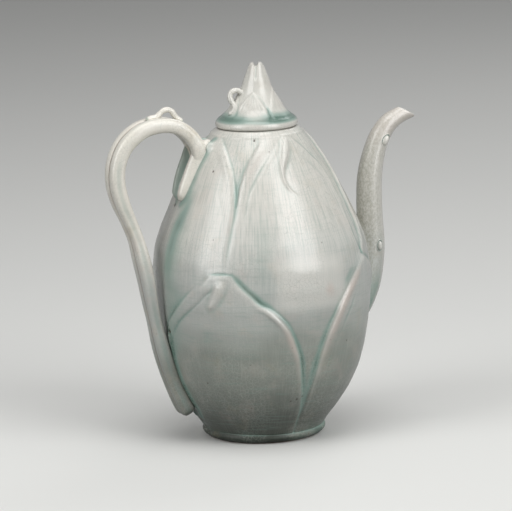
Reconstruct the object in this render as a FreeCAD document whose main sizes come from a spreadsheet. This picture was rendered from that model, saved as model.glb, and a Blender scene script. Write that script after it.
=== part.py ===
import FreeCAD, Part
import math
import os
import Sketcher
from FreeCAD import Matrix, Placement, Rotation, Vector

# A celadon ewer in the shape of a bamboo shoot.
# Millimetres. Z is up, the spout points along +X and the handle lies on -X.
# The origin is the centre of the foot on the standing plane.

SIZES = {
    # Vessel wall
    "body_height": 178.7,
    "belly_radius": 61.2,
    "mouth_outer_radius": 23.0,
    "mouth_bore_radius": 18.0,
    "mouth_bore_depth": 5.0,
    "wall_thickness": 5.0,
    "floor_thickness": 6.5,
    # Foot ring
    "foot_height": 6.0,
    "foot_joint_radius": 34.0,
    "foot_bead_radius": 34.8,
    "foot_bead_drop": 1.6,
    "foot_rest_outer_radius": 31.0,
    "foot_inner_radius": 26.5,
    # Sheath leaves carved on the wall
    "upper_sheath_relief": 0.9,
    "lower_sheath_relief": 2.0,
    "upper_sheath_top": 176.0,
    "upper_sheath_bottom": 36.0,
    "upper_sheath_half_width": 41.0,
    "lower_sheath_top": 106.5,
    "lower_sheath_bottom": 8.0,
    "lower_sheath_half_width": 40.6,
    # Spout
    "spout_reach": 37.6,
    "spout_base_height": 60.0,
    "spout_rise": 119.0,
    "spout_radius": 8.6,
    "spout_wall": 2.6,
    "spout_lip_height": 182.2,
    "spout_lip_out": 26.8,
    "pour_hole_radius": 5.5,
    "pour_hole_height": 84.0,
    # Buds on the spout
    "bud_length": 9.0,
    "bud_width": 6.0,
    "bud_height": 1.2,
    # Handle, two rolls side by side
    "handle_reach": 26.2,
    "handle_rise": 5.6,
    "handle_roll_radius": 4.3,
    "root_roll_radius": 3.7,
    # Cord loop on the handle
    "loop_roll_radius": 1.25,
    "loop_span": 18.0,
    "loop_height": 6.0,
    # Lid
    "lid_height": 36.0,
    "lid_rim_radius": 23.6,
    "lid_seat_gap": 0.3,
    "lid_hollow_height": 20.0,
    "lid_hollow_shoulder": 4.0,
    "lid_hollow_tip_radius": 3.0,
    "lid_notch_width": 2.6,
    "lid_notch_depth": 4.6,
    "lid_sheath_relief": 0.7,
    "lid_sheath_top": 20.0,
    "lid_sheath_bottom": 4.0,
    "lid_sheath_half_width": 11.0,
    "flange_radius": 17.0,
    "flange_wall": 2.6,
    "flange_depth": 8.0,
    # Cord loop on the lid
    "lid_loop_roll_radius": 1.3,
    # One overrun for all cuts
    "overrun": 5.0,
}

# Angles, in degrees, and counts
SHEATHS_IN_A_TIER = 4
UPPER_TIER_TURN = 2.0
LOWER_TIER_TURN = 47.0
LID_TIER_TURN = 68.0
LID_NOTCH_TURN = -22.0
SPOUT_LIP_SLOPE = 29.0
TUBE_SIDES = 20
ROLL_SIDES = 14
ROOT_SIDES = 10
LOOP_SIDES = 8
CURVE_DEGREE = 3

document = FreeCAD.newDocument("bamboo_shoot_ewer")
sheet = document.addObject("Spreadsheet::Sheet", "sizes")
for row, (alias, value) in enumerate(SIZES.items(), start=1):
    sheet.set(f"A{row}", alias)
    sheet.set(f"B{row}", str(value))
    sheet.setAlias(f"B{row}", alias)
document.recompute()


class Size:
    """A length that remembers the sheet formula it comes from."""

    def __init__(self, value, formula):
        self.value = value
        self.formula = formula

    def joined(self, other, sign, value):
        other_formula = other.formula if isinstance(other, Size) else repr(other)
        return Size(value, f"({self.formula} {sign} {other_formula})")

    def __add__(self, other):
        return self.joined(other, "+", self.value + number(other))

    def __sub__(self, other):
        return self.joined(other, "-", self.value - number(other))

    def __mul__(self, other):
        return self.joined(other, "*", self.value * number(other))

    def __truediv__(self, other):
        return self.joined(other, "/", self.value / number(other))


def number(thing):
    """The plain number of a size or of a number."""
    return thing.value if isinstance(thing, Size) else thing


def size(alias):
    """A cell of the sheet as a size."""
    return Size(float(sheet.get(alias)), f"sizes.{alias}")


ZERO = Size(0.0, "0")

# Sketch helpers


def origin_plane(body, role):
    """One of a body's own origin planes."""
    return next(plane for plane in body.Origin.OriginFeatures if plane.Role == role)


def bind(sketch, kind, *target):
    """Adds a dimension whose value follows the sheet. The last item is the size."""
    *places, length = target
    sketch.addConstraint(Sketcher.Constraint(kind, *places, number(length)))
    if isinstance(length, Size):
        sketch.setExpression(f"Constraints[{sketch.ConstraintCount - 1}]", length.formula)


def bind_point(sketch, geometry, point, place):
    """Holds one point of the sketch at a place given by two sizes."""
    across, up = place
    bind(sketch, "DistanceX", geometry, point, across)
    bind(sketch, "DistanceY", geometry, point, up)


def flat(place):
    """A sketch point with the present values of its two sizes."""
    return Vector(number(place[0]), number(place[1]), 0)


def add_line(sketch, start, end):
    """A bound straight edge."""
    line = sketch.addGeometry(Part.LineSegment(flat(start), flat(end)), False)
    bind_point(sketch, line, 1, start)
    bind_point(sketch, line, 2, end)


def add_outline(sketch, points):
    """A closed outline of straight edges with every corner bound."""
    lines = []
    for start, end in zip(points, points[1:] + points[:1]):
        line = sketch.addGeometry(Part.LineSegment(flat(start), flat(end)), False)
        bind_point(sketch, line, 1, start)
        lines.append(line)
    for line, following in zip(lines, lines[1:] + lines[:1]):
        sketch.addConstraint(Sketcher.Constraint("Coincident", line, 2, following, 1))


def add_curve(sketch, poles):
    """A bound smooth edge: a cubic spline drawn by a few control points."""
    inner_knots = len(poles) - CURVE_DEGREE - 1
    multiplicities = [CURVE_DEGREE + 1] + [1] * inner_knots + [CURVE_DEGREE + 1]
    knots = [float(index) for index in range(len(multiplicities))]
    shape = Part.BSplineCurve()
    shape.buildFromPolesMultsKnots(
        [flat(pole) for pole in poles], multiplicities, knots, False, CURVE_DEGREE
    )
    curve = sketch.addGeometry(shape, False)
    first_pole = sketch.GeometryCount
    sketch.exposeInternalGeometry(curve)
    for index, pole in enumerate(poles):
        bind_point(sketch, first_pole + index, 3, pole)


def free_sketch(label, rotation):
    """A sketch outside any body, on a plane through the origin."""
    sketch = document.addObject("Sketcher::SketchObject", label)
    sketch.Placement = Placement(Vector(), rotation)
    return sketch


UPRIGHT = Rotation(Vector(1, 0, 0), 90)
FACING_SPOUT = Rotation(Matrix(0, 0, 1, 0, 1, 0, 0, 0, 0, 1, 0, 0, 0, 0, 0, 1))


def turned_block(label, outline):
    """A solid of revolution about Z under an outline that runs upward."""
    sketch = free_sketch(f"{label}_section", UPRIGHT)
    add_outline(sketch, outline + [(ZERO, outline[-1][1]), (ZERO, outline[0][1])])
    turned = document.addObject("Part::Revolution", label)
    turned.Source = sketch
    turned.Axis = Vector(0, 0, 1)
    turned.Angle = 360
    turned.Solid = True
    return turned


def fuse(label, shapes):
    """Several shapes as one solid."""
    joined = document.addObject("Part::MultiFuse", label)
    joined.Shapes = shapes
    return joined


def cut(label, base, tool):
    """The base with the tool taken away."""
    result = document.addObject("Part::Cut", label)
    result.Base = base
    result.Tool = tool
    return result


# Vessel outline: corners of the wall's bands, as shares of the belly radius and of the body height.
# The belly band is upright, and each other band leans in toward the foot or the mouth.

OUTLINE_SHARES = [(0.835, 0.15), (0.955, 0.275), (1.0, 0.42), (1.0, 0.575), (0.893, 0.715), (0.66, 0.862)]
FOOT_RELIEF_SHARE = 0.4
MOUTH_RELIEF_SHARE = 0.5


def wall_corners(relief):
    """The wall's outer outline, standing out by a relief that fades at the foot and the mouth."""
    foot = (size("foot_joint_radius") + relief * FOOT_RELIEF_SHARE, size("foot_height"))
    mouth = (size("mouth_outer_radius") + relief * MOUTH_RELIEF_SHARE, size("body_height"))
    middle = [
        (size("belly_radius") * out_share + relief, size("body_height") * up_share)
        for out_share, up_share in OUTLINE_SHARES
    ]
    return [foot] + middle + [mouth]


def wall_place(height, relief):
    """The radius of that outline at a height, and its outward normal."""
    corners = [flat(corner) for corner in wall_corners(relief)]
    below, above = next(pair for pair in zip(corners, corners[1:]) if pair[1].y >= height)
    step = above - below
    place = below + step * ((height - below.y) / step.y)
    return place, Vector(step.y, -step.x, 0).normalize()


# Sheath leaves. Each is a leaf outline pushed outward and kept where it meets a thin layer on the wall.
# The outline runs up one edge: half widths and heights as shares of the leaf's size.

UPPER_LEAF_SHARES = [
    (0.0, 0.0),
    (0.49, 0.1),
    (1.024, 0.314),
    (1.037, 0.586),
    (0.88, 0.779),
    (0.34, 0.964),
    (0.195, 1.0),
]
LOWER_LEAF_SHARES = [
    (0.628, 0.0),
    (0.813, 0.142),
    (1.06, 0.378),
    (0.985, 0.653),
    (0.468, 0.816),
    (0.296, 0.929),
    (0.11, 1.0),
]
LID_LEAF_SHARES = [(1.0, 0.0), (0.95, 0.45), (0.5, 0.8), (0.0, 1.0)]


def leaf_outline(label, shares, half_width, bottom, top):
    """A closed leaf outline drawn on the plane that faces the spout."""
    sketch = free_sketch(label, FACING_SPOUT)
    height = top - bottom
    right = [(half_width * out_share, bottom + height * up_share) for out_share, up_share in shares]
    left = [(across * -1.0, up) for across, up in right]
    add_curve(sketch, right)
    add_curve(sketch, left)
    for right_end, left_end in ((right[0], left[0]), (right[-1], left[-1])):
        if number(right_end[0]):
            add_line(sketch, left_end, right_end)
    return sketch


def leaf_tier(label, outline, layer, first_turn, reach):
    """A ring of equal sheath leaves, each standing out as far as the layer does."""
    leaves = []
    for index in range(SHEATHS_IN_A_TIER):
        slab = document.addObject("Part::Extrusion", f"{label}_slab_{index}")
        slab.Base = outline
        slab.DirMode = "Custom"
        slab.Dir = Vector(1, 0, 0)
        slab.Solid = True
        slab.setExpression("LengthFwd", reach.formula)
        turn = first_turn + index * 360.0 / SHEATHS_IN_A_TIER
        slab.Placement = Placement(Vector(), Rotation(Vector(0, 0, 1), turn))
        leaf = document.addObject("Part::Common", f"{label}_leaf_{index}")
        leaf.Base = layer
        leaf.Tool = slab
        leaves.append(leaf)
    return leaves


def make_ewer_form():
    """The ewer's outer form as a solid block: the thrown wall with two tiers of sheaths laid on it."""
    reach = size("belly_radius") + size("overrun")
    parts = [turned_block("core", wall_corners(ZERO))]
    tiers = [("upper", UPPER_LEAF_SHARES, UPPER_TIER_TURN), ("lower", LOWER_LEAF_SHARES, LOWER_TIER_TURN)]
    for tier, shares, turn in tiers:
        relief = size(f"{tier}_sheath_relief")
        layer = turned_block(f"{tier}_layer", wall_corners(relief))
        outline = leaf_outline(
            f"{tier}_leaf_outline",
            shares,
            size(f"{tier}_sheath_half_width"),
            size(f"{tier}_sheath_bottom"),
            size(f"{tier}_sheath_top"),
        )
        parts += leaf_tier(tier, outline, layer, turn, reach)
    return fuse("ewer_form", parts)


# Cavity: a floor that curves up into the inside of the thrown wall, and the mouth bore.
# Corners as shares of the inner radius and of the body height.

CAVITY_FLOOR_SHARE = 0.45
CAVITY_SHARES = [(0.72, 0.13), (0.955, 0.27), (1.0, 0.42), (1.0, 0.575), (0.88, 0.715), (0.63, 0.862)]


def make_vessel_body(form):
    """The thrown wall: the outer form, hollowed and pierced behind the spout."""
    inner_radius = size("belly_radius") - size("wall_thickness")
    floor_height = size("foot_height") + size("floor_thickness")
    inside = [
        (inner_radius * out_share, size("body_height") * up_share)
        for out_share, up_share in CAVITY_SHARES
    ]
    bore_low = (size("mouth_bore_radius"), size("body_height") - size("mouth_bore_depth"))
    bore_high = (size("mouth_bore_radius"), size("body_height") + size("overrun"))
    floor_edge = (inner_radius * CAVITY_FLOOR_SHARE, floor_height)
    outline = [floor_edge] + inside + [bore_low, bore_high]
    pour_hole = document.addObject("Part::Cylinder", "pour_hole")
    pour_hole.setExpression("Radius", "sizes.pour_hole_radius")
    pour_hole.setExpression("Height", "sizes.wall_thickness + sizes.overrun * 4")
    start = "sizes.belly_radius - sizes.wall_thickness - sizes.overrun * 2"
    pour_hole.setExpression("Placement.Base.x", start)
    pour_hole.setExpression("Placement.Base.z", "sizes.pour_hole_height")
    pour_hole.Placement.Rotation = Rotation(Vector(0, 1, 0), 90)
    hollow = fuse("hollow", [turned_block("cavity", outline), pour_hole])
    return cut("vessel_body", form, hollow)


def make_foot_ring():
    """A low bead, flat where it rests, luted flat to the body's underside."""
    foot_top = size("foot_height")
    foot_ring = document.addObject("PartDesign::Body", "foot_ring")
    section = foot_ring.newObject("Sketcher::SketchObject", "foot_ring_section")
    section.AttachmentSupport = [(origin_plane(foot_ring, "XZ_Plane"), "")]
    section.MapMode = "FlatFace"
    outline = [
        (size("foot_joint_radius"), foot_top),
        (size("foot_bead_radius"), foot_top - size("foot_bead_drop")),
        (size("foot_bead_radius"), foot_top - size("foot_bead_drop") * 2),
        (size("foot_rest_outer_radius"), ZERO),
        (size("foot_inner_radius"), ZERO),
        (size("foot_inner_radius"), foot_top),
    ]
    add_outline(section, outline)
    turned = foot_ring.newObject("PartDesign::Revolution", "foot_ring_turned")
    turned.Profile = section
    turned.ReferenceAxis = (section, ["V_Axis"])
    turned.Angle = 360
    return foot_ring


# Rolled and drawn pieces: lofts through sections set square to a path in the XZ plane.
# A station is a place, a radius and the path's direction there.


def along_path(places):
    """Gives each place of a path its direction, from its neighbours."""
    stations = []
    for index, (out, up, radius) in enumerate(places):
        before = flat(places[max(index - 1, 0)])
        after = flat(places[min(index + 1, len(places) - 1)])
        step = (after - before).normalize()
        stations.append((out, up, radius, Vector(step.x, 0, step.y)))
    return stations


def section_sketch(body, label, station):
    """An empty sketch square to the path: its x is in the path's plane and its y is world Y."""
    out, up, _, along = station
    sketch = body.newObject("Sketcher::SketchObject", label)
    sketch.AttachmentSupport = [(origin_plane(body, "XY_Plane"), "")]
    sketch.MapMode = "FlatFace"
    across = Vector(along.z, 0, -along.x)
    turn = Rotation(across, Vector(0, 1, 0), along, "ZXY")
    sketch.AttachmentOffset = Placement(Vector(number(out), 0, number(up)), turn)
    sketch.setExpression("AttachmentOffset.Base.x", out.formula)
    sketch.setExpression("AttachmentOffset.Base.z", up.formula)
    return sketch


def draw_round(sketch, radius, offset, sides):
    """A round section as a many-sided outline, its centre moved along Y."""
    corners = []
    for corner in range(sides):
        angle = 2 * math.pi * (corner + 0.5) / sides
        corners.append((radius * math.cos(angle), offset + radius * math.sin(angle)))
    add_outline(sketch, corners)


def draw_half_pressed(sketch, radius, side):
    """The same section pressed flat on the plane that two rolls share."""
    swing = math.asin(PRESS_SHARE)
    corners = []
    for corner in range(ROLL_SIDES - 2):
        angle = (math.pi + 2 * swing) * corner / (ROLL_SIDES - 3) - swing
        outward = PRESS_SHARE + math.sin(angle)
        corners.append((radius * math.cos(angle), radius * (outward * side)))
    add_outline(sketch, corners)


def add_loft(body, label, stations, draw):
    """A loft through the sections that a drawing function puts at each station."""
    sections = []
    for index, station in enumerate(stations):
        sketch = section_sketch(body, f"{label}_section_{index}", station)
        draw(sketch, station[2])
        sections.append(sketch)
    loft = body.newObject("PartDesign::AdditiveLoft", label)
    loft.Profile = sections[0]
    loft.Sections = sections[1:]
    loft.Ruled = True


def round_roll(label, stations, sides):
    """A round roll of clay along a path."""
    body = document.addObject("PartDesign::Body", label)

    def draw(sketch, radius):
        draw_round(sketch, radius, ZERO, sides)

    add_loft(body, f"{label}_laid", stations, draw)
    return body


# Spout: a drawn tube that leaves the belly low down, climbs beside it and bends outward to its lip.
# Each place: how far out of the belly as a share of the reach, how high as a share of the rise,
# and its radius as a share of the radius at the base.

SPOUT_SHARES = [
    (-0.16, 0.0, 0.81),
    (0.0, 0.084, 0.95),
    (0.122, 0.176, 1.0),
    (0.221, 0.387, 0.93),
    (0.218, 0.588, 0.849),
    (0.237, 0.697, 0.814),
    (0.309, 0.807, 0.744),
    (0.43, 0.892, 0.70),
    (0.59, 0.952, 0.63),
    (0.80, 0.992, 0.54),
    (1.05, 1.015, 0.50),
]


def spout_stations():
    """The spout's path from inside the belly to beyond the lip."""
    return along_path(
        [
            (
                size("belly_radius") + size("spout_reach") * out_share,
                size("spout_base_height") + size("spout_rise") * up_share,
                size("spout_radius") * radius_share,
            )
            for out_share, up_share, radius_share in SPOUT_SHARES
        ]
    )


def draw_bore(sketch, radius):
    """The spout's bore: the wall thins toward the lip as the tube does."""
    wall = radius * (SIZES["spout_wall"] / SIZES["spout_radius"])
    draw_round(sketch, radius - wall, ZERO, TUBE_SIDES)


def make_spout(form, spout_outside):
    """The tube, bored, open at its back over the pouring hole and sliced off at its lip."""
    bore = document.addObject("PartDesign::Body", "spout_bore")
    add_loft(bore, "spout_bore_laid", spout_stations(), draw_bore)
    lip_knife = document.addObject("Part::Box", "lip_knife")
    lip_knife.setExpression("Length", "sizes.spout_reach * 2")
    lip_knife.setExpression("Width", "sizes.spout_radius * 4")
    lip_knife.setExpression("Height", "sizes.spout_radius * 4")
    lip_turn = Rotation(Vector(0, 1, 0), SPOUT_LIP_SLOPE)
    corner = Vector(-SIZES["spout_reach"], -SIZES["spout_radius"] * 2, 0)
    lip = Vector(SIZES["belly_radius"] + SIZES["spout_lip_out"], 0, SIZES["spout_lip_height"])
    lip_knife.Placement = Placement(lip + lip_turn.multVec(corner), lip_turn)
    removed = fuse("spout_removed", [bore, lip_knife, form])
    return cut("spout", spout_outside, removed)


# Buds: oval pellets on the near side of the spout, half sunk in its wall.
# Each: its height and its shift across as shares of the rise and the radius, and its share of the full size.

BUD_SHARES = {"spout_bud_lower": (0.352, 0.45, 0.62), "spout_bud_upper": (0.868, 0.35, 1.0)}


def spout_place(up_share):
    """The spout's axis, direction and radius at a share of its rise."""
    rises = [place[1] for place in SPOUT_SHARES]
    index = next(index for index, rise in enumerate(rises) if rise >= up_share)
    blend = (up_share - rises[index - 1]) / (rises[index] - rises[index - 1])
    low, high = spout_stations()[index - 1 : index + 1]
    low_place = Vector(number(low[0]), 0, number(low[1]))
    step = Vector(number(high[0]), 0, number(high[1])) - low_place
    radius = number(low[2] * (1 - blend) + high[2] * blend)
    return low_place + step * blend, step.normalize(), radius


def make_bud(label, spout_outside):
    """An oval pellet with a bevelled rim, whose long axis follows the spout."""
    up_share, across_share, size_share = BUD_SHARES[label]
    place, along, radius = spout_place(up_share)
    outward = Vector(along.z, 0, -along.x)
    normal = outward * across_share - Vector(0, math.sqrt(1 - across_share**2), 0)
    pellet = document.addObject("PartDesign::Body", f"{label}_pellet")
    levels = [(-1.0, 1.0), (0.5, 1.0), (1.0, 0.7)]
    ovals = []
    for level, (height_share, width_share) in enumerate(levels):
        oval = pellet.newObject("Sketcher::SketchObject", f"{label}_oval_{level}")
        oval.AttachmentSupport = [(origin_plane(pellet, "XY_Plane"), "")]
        oval.MapMode = "FlatFace"
        rise = size("bud_height") * (height_share * size_share)
        oval.setExpression("AttachmentOffset.Base.z", rise.formula)
        corners = []
        for corner in range(ROLL_SIDES):
            angle = 2 * math.pi * corner / ROLL_SIDES
            half_length = size("bud_length") / 2 * (math.cos(angle) * width_share * size_share)
            half_width = size("bud_width") / 2 * (math.sin(angle) * width_share * size_share)
            corners.append((half_length, half_width))
        add_outline(oval, corners)
        ovals.append(oval)
    loft = pellet.newObject("PartDesign::AdditiveLoft", f"{label}_laid")
    loft.Profile = ovals[0]
    loft.Sections = ovals[1:]
    loft.Ruled = True
    turn = Rotation(along, normal.cross(along), normal, "ZXY")
    pellet.Placement = Placement(place + normal * radius, turn)
    return cut(label, pellet, spout_outside)


# Handle: two rolls laid side by side. They spring from the root on the shoulder, arch outward, stand
# clear of the belly and come down onto the lower wall.
# Root: out and up as shares of the belly radius and the body height, radius as a share of the root roll's.

ROOT_STUB_SHARES = [(0.54, 0.922, 1.03), (0.60, 0.954, 1.06), (0.654, 0.977, 1.08), (0.713, 0.997, 1.11)]
ROOT_LIMB_SHARES = [(0.955, 0.6), (0.94, 0.95), (0.88, 1.0), (0.806, 0.89), (0.786, 0.43)]
# Arch: out and up as shares of the reach beyond the belly and of the arch height, and the roll's radius
ARCH_SHARES = [
    (-0.42, 0.991, 0.99),
    (-0.16, 1.0, 1.0),
    (0.06, 1.0, 1.0),
    (0.30, 0.992, 1.0),
    (0.57, 0.968, 1.0),
    (0.81, 0.925, 1.0),
    (0.95, 0.875, 1.0),
    (1.0, 0.825, 0.99),
    (0.945, 0.768, 0.96),
    (0.73, 0.69, 0.89),
    (0.53, 0.622, 0.87),
    (0.42, 0.56, 0.90),
    (0.31, 0.46, 0.85),
    (0.235, 0.40, 0.80),
]
# On the wall: height as a share of the arch height, then lift off the wall and radius of the roll radius
LANDED_SHARES = [
    (0.33, 0.86, 0.87),
    (0.26, 0.78, 0.92),
    (0.19, 0.74, 0.93),
    (0.13, 0.71, 0.90),
    (0.098, 0.42, 0.52),
]
PRESS_SHARE = 0.78


def on_wall(up_share, lift_share, whole_height, radius):
    """A place on the wall's back, lifted off it by a share of a roll's radius."""
    place, normal = wall_place(number(whole_height) * up_share, size("lower_sheath_relief"))
    out = place.x / SIZES["belly_radius"]
    up = place.y / number(whole_height)
    lift = radius * lift_share
    return size("belly_radius") * -out - lift * normal.x, whole_height * up + lift * normal.y


def handle_stations():
    """The whole path of the handle: the root's stub, the arch and the stretch laid on the wall."""
    arch_height = size("body_height") + size("handle_rise")
    roll_radius = size("handle_roll_radius")
    places = [
        (
            size("belly_radius") * -out_share,
            size("body_height") * up_share,
            size("root_roll_radius") * radius_share,
        )
        for out_share, up_share, radius_share in ROOT_STUB_SHARES
    ]
    places += [
        (
            size("belly_radius") * -1.0 - size("handle_reach") * out_share,
            arch_height * up_share,
            roll_radius * radius_share,
        )
        for out_share, up_share, radius_share in ARCH_SHARES
    ]
    for up_share, lift_share, radius_share in LANDED_SHARES:
        out, up = on_wall(up_share, lift_share, arch_height, roll_radius)
        places.append((out, up, roll_radius * radius_share))
    return along_path(places)


def make_roll(label, side, form):
    """One of the two rolls, on its side of the plane between them."""
    roll = document.addObject("PartDesign::Body", f"{label}_laid")

    def draw(sketch, radius):
        draw_half_pressed(sketch, radius, side)

    root_joint = len(ROOT_STUB_SHARES) - 1
    add_loft(roll, f"{label}_arch", handle_stations()[root_joint:], draw)
    return cut(label, roll, form)


def make_handle_root(form):
    """The split root: for each roll a stub up to the arch and a limb that runs down the shoulder."""
    limb_places = []
    for up_share, radius_share in ROOT_LIMB_SHARES:
        out, up = on_wall(up_share, 0.0, size("body_height"), size("root_roll_radius"))
        limb_places.append((out, up, size("root_roll_radius") * radius_share))
    stub = handle_stations()[: len(ROOT_STUB_SHARES)]
    rolls = []
    for name, side in (("near", -1.0), ("far", 1.0)):
        offset = size("handle_roll_radius") * (PRESS_SHARE * side)

        def draw(sketch, radius, offset=offset):
            draw_round(sketch, radius, offset, ROOT_SIDES)

        for piece, stations in (("stub", stub), ("limb", along_path(limb_places))):
            body = document.addObject("PartDesign::Body", f"root_{piece}_{name}")
            add_loft(body, f"root_{piece}_{name}_laid", stations, draw)
            rolls.append(body)
    return cut("handle_root", fuse("root_rolls", rolls), form)


# Cord loop on the handle: places as shares of its span and height, from the top of the rolls

LOOP_SHARES = [
    (-0.361, -0.2),
    (-0.139, -0.05),
    (0.039, 0.0),
    (0.156, 0.38),
    (0.261, 0.72),
    (0.389, 0.867),
    (0.511, 0.67),
    (0.6, 0.24),
    (0.689, -0.4),
    (0.822, -0.66),
]


def make_handle_loop(rolls):
    """A thin roll that bows up from the arch, for the cord that ties the lid on."""
    crest = size("body_height") + size("handle_rise") + size("handle_roll_radius")
    places = [
        (
            size("belly_radius") * -1.0 + size("loop_span") * out_share,
            crest + size("loop_height") * up_share,
            size("loop_roll_radius"),
        )
        for out_share, up_share in LOOP_SHARES
    ]
    return cut("handle_loop", round_roll("handle_loop_roll", along_path(places), LOOP_SIDES), rolls)


# Lid: outline as shares of the rim radius and of the lid's height, upward from the edge

LID_OUTLINE_SHARES = [
    (1.0, 0.0),
    (1.0, 0.06),
    (0.873, 0.167),
    (0.695, 0.261),
    (0.352, 0.644),
    (0.161, 1.0),
]
LID_LOOP_SHARES = [
    (0.34, 0.514),
    (0.525, 0.594),
    (0.657, 0.564),
    (0.703, 0.494),
    (0.686, 0.417),
    (0.653, 0.35),
    (0.678, 0.289),
    (0.763, 0.228),
    (0.826, 0.2),
]


def lid_foot():
    """The height of the lid's underside, just above the mouth."""
    return size("body_height") + size("lid_seat_gap")


def lid_outline(relief):
    """The lid's outline, standing out by a relief between its edge and its tip."""
    points = [
        (size("lid_rim_radius") * out_share, lid_foot() + size("lid_height") * up_share)
        for out_share, up_share in LID_OUTLINE_SHARES
    ]
    return points[:1] + [(out + relief, up) for out, up in points[1:-1]] + points[-1:]


def make_lid_form():
    """The lid's outer form as a solid block, with four small sheaths round the shoot."""
    relief = size("lid_sheath_relief")
    outline = leaf_outline(
        "lid_leaf_outline",
        LID_LEAF_SHARES,
        size("lid_sheath_half_width"),
        lid_foot() + size("lid_sheath_bottom"),
        lid_foot() + size("lid_sheath_top"),
    )
    layer = turned_block("lid_layer", lid_outline(relief))
    reach = size("lid_rim_radius") + size("overrun")
    leaves = leaf_tier("lid", outline, layer, LID_TIER_TURN, reach)
    return fuse("lid_form", [turned_block("lid_cone", lid_outline(ZERO))] + leaves)


def make_lid(form):
    """The lid: hollow below, with its tip split by a notch."""
    foot = lid_foot()
    hollow_edge = size("flange_radius") - size("flange_wall")
    hollow = turned_block(
        "lid_hollow",
        [
            (hollow_edge, foot - size("overrun")),
            (hollow_edge, foot + size("lid_hollow_shoulder")),
            (size("lid_hollow_tip_radius"), foot + size("lid_hollow_height")),
        ],
    )
    notch = document.addObject("Part::Box", "lid_notch")
    notch.setExpression("Length", "sizes.lid_notch_width")
    notch.setExpression("Width", "sizes.lid_rim_radius")
    notch.setExpression("Height", "sizes.lid_notch_depth + sizes.overrun")
    turn = Rotation(Vector(0, 0, 1), LID_NOTCH_TURN)
    corner = Vector(-SIZES["lid_notch_width"] / 2, -SIZES["lid_rim_radius"] / 2, 0)
    notch_floor = foot + size("lid_height") - size("lid_notch_depth")
    notch.Placement = Placement(turn.multVec(corner) + Vector(0, 0, number(notch_floor)), turn)
    return cut("lid", form, fuse("lid_removed", [hollow, notch]))


def make_lid_flange():
    """The locating collar that drops into the mouth."""
    flange = document.addObject("PartDesign::Body", "lid_flange")
    ring = flange.newObject("Sketcher::SketchObject", "lid_flange_ring")
    ring.AttachmentSupport = [(origin_plane(flange, "XY_Plane"), "")]
    ring.MapMode = "FlatFace"
    ring.setExpression("AttachmentOffset.Base.z", lid_foot().formula)
    for radius in (size("flange_radius"), size("flange_radius") - size("flange_wall")):
        circle = ring.addGeometry(Part.Circle(Vector(), Vector(0, 0, 1), number(radius)), False)
        bind_point(ring, circle, 3, (ZERO, ZERO))
        bind(ring, "Radius", circle, radius)
    pad = flange.newObject("PartDesign::Pad", "lid_flange_pad")
    pad.Profile = ring
    pad.Reversed = True
    pad.setExpression("Length", "sizes.flange_depth")
    return flange


def make_lid_loop(form):
    """A thin roll curled on the lid's side, the other end of the cord's tie."""
    places = [
        (
            size("lid_rim_radius") * -out_share,
            lid_foot() + size("lid_height") * up_share,
            size("lid_loop_roll_radius"),
        )
        for out_share, up_share in LID_LOOP_SHARES
    ]
    return cut("lid_loop", round_roll("lid_loop_roll", along_path(places), LOOP_SIDES), form)


# The whole ewer

ewer_form = make_ewer_form()
spout_outside = round_roll("spout_outside", spout_stations(), TUBE_SIDES)
near_roll = make_roll("handle_roll_near", -1.0, ewer_form)
far_roll = make_roll("handle_roll_far", 1.0, ewer_form)
lid_form = make_lid_form()
nodes = [
    make_vessel_body(ewer_form),
    make_foot_ring(),
    make_spout(ewer_form, spout_outside),
    make_bud("spout_bud_lower", spout_outside),
    make_bud("spout_bud_upper", spout_outside),
    near_roll,
    far_roll,
    make_handle_root(ewer_form),
    make_handle_loop(fuse("both_rolls", [near_roll, far_roll])),
    make_lid(lid_form),
    make_lid_flange(),
    make_lid_loop(lid_form),
]
document.recompute()

# Nothing is written unless the whole document is sound

for made in document.Objects:
    if "Invalid" in made.State or "Error" in made.State:
        raise RuntimeError(f"{made.Label} did not build: {made.State}")
for node in nodes:
    if node.Shape.isNull() or not node.Shape.isValid() or len(node.Shape.Solids) != 1:
        raise RuntimeError(f"{node.Label} is not one sound solid")
for name in ("vessel_body", "spout", "lid"):
    node = document.getObject(name)
    if node.Shape.Volume >= node.Base.Shape.Volume:
        raise RuntimeError(f"{name} was not hollowed")

os.makedirs("parts", exist_ok=True)
for node in nodes:
    node.Shape.exportStep(f"parts/{node.Label}.step")
    print(node.Label, round(node.Shape.Volume, 1), "mm3")
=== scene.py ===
# %% [markdown]
# # A celadon ewer in the shape of a bamboo shoot
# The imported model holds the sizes, the moving lid and the weights. This lesson dresses it: each piece of
# clay gets its real surface, and then its glaze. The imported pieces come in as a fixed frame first, so that
# everything made here can be measured against them.

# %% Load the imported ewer
import math

import bmesh
import bpy
import numpy as np
from mathutils import Matrix, Vector


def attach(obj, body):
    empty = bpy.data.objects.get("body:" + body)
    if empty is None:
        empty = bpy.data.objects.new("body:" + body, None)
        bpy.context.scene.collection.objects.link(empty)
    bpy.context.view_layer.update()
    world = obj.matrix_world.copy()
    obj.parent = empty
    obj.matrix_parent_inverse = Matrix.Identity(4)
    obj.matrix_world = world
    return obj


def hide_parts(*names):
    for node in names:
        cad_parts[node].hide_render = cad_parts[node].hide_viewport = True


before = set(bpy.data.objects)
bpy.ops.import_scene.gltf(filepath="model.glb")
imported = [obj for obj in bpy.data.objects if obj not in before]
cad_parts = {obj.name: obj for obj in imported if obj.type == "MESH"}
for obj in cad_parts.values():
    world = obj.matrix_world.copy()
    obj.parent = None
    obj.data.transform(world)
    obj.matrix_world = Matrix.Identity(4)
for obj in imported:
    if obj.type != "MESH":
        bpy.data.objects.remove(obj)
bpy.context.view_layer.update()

MM = 0.001

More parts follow.
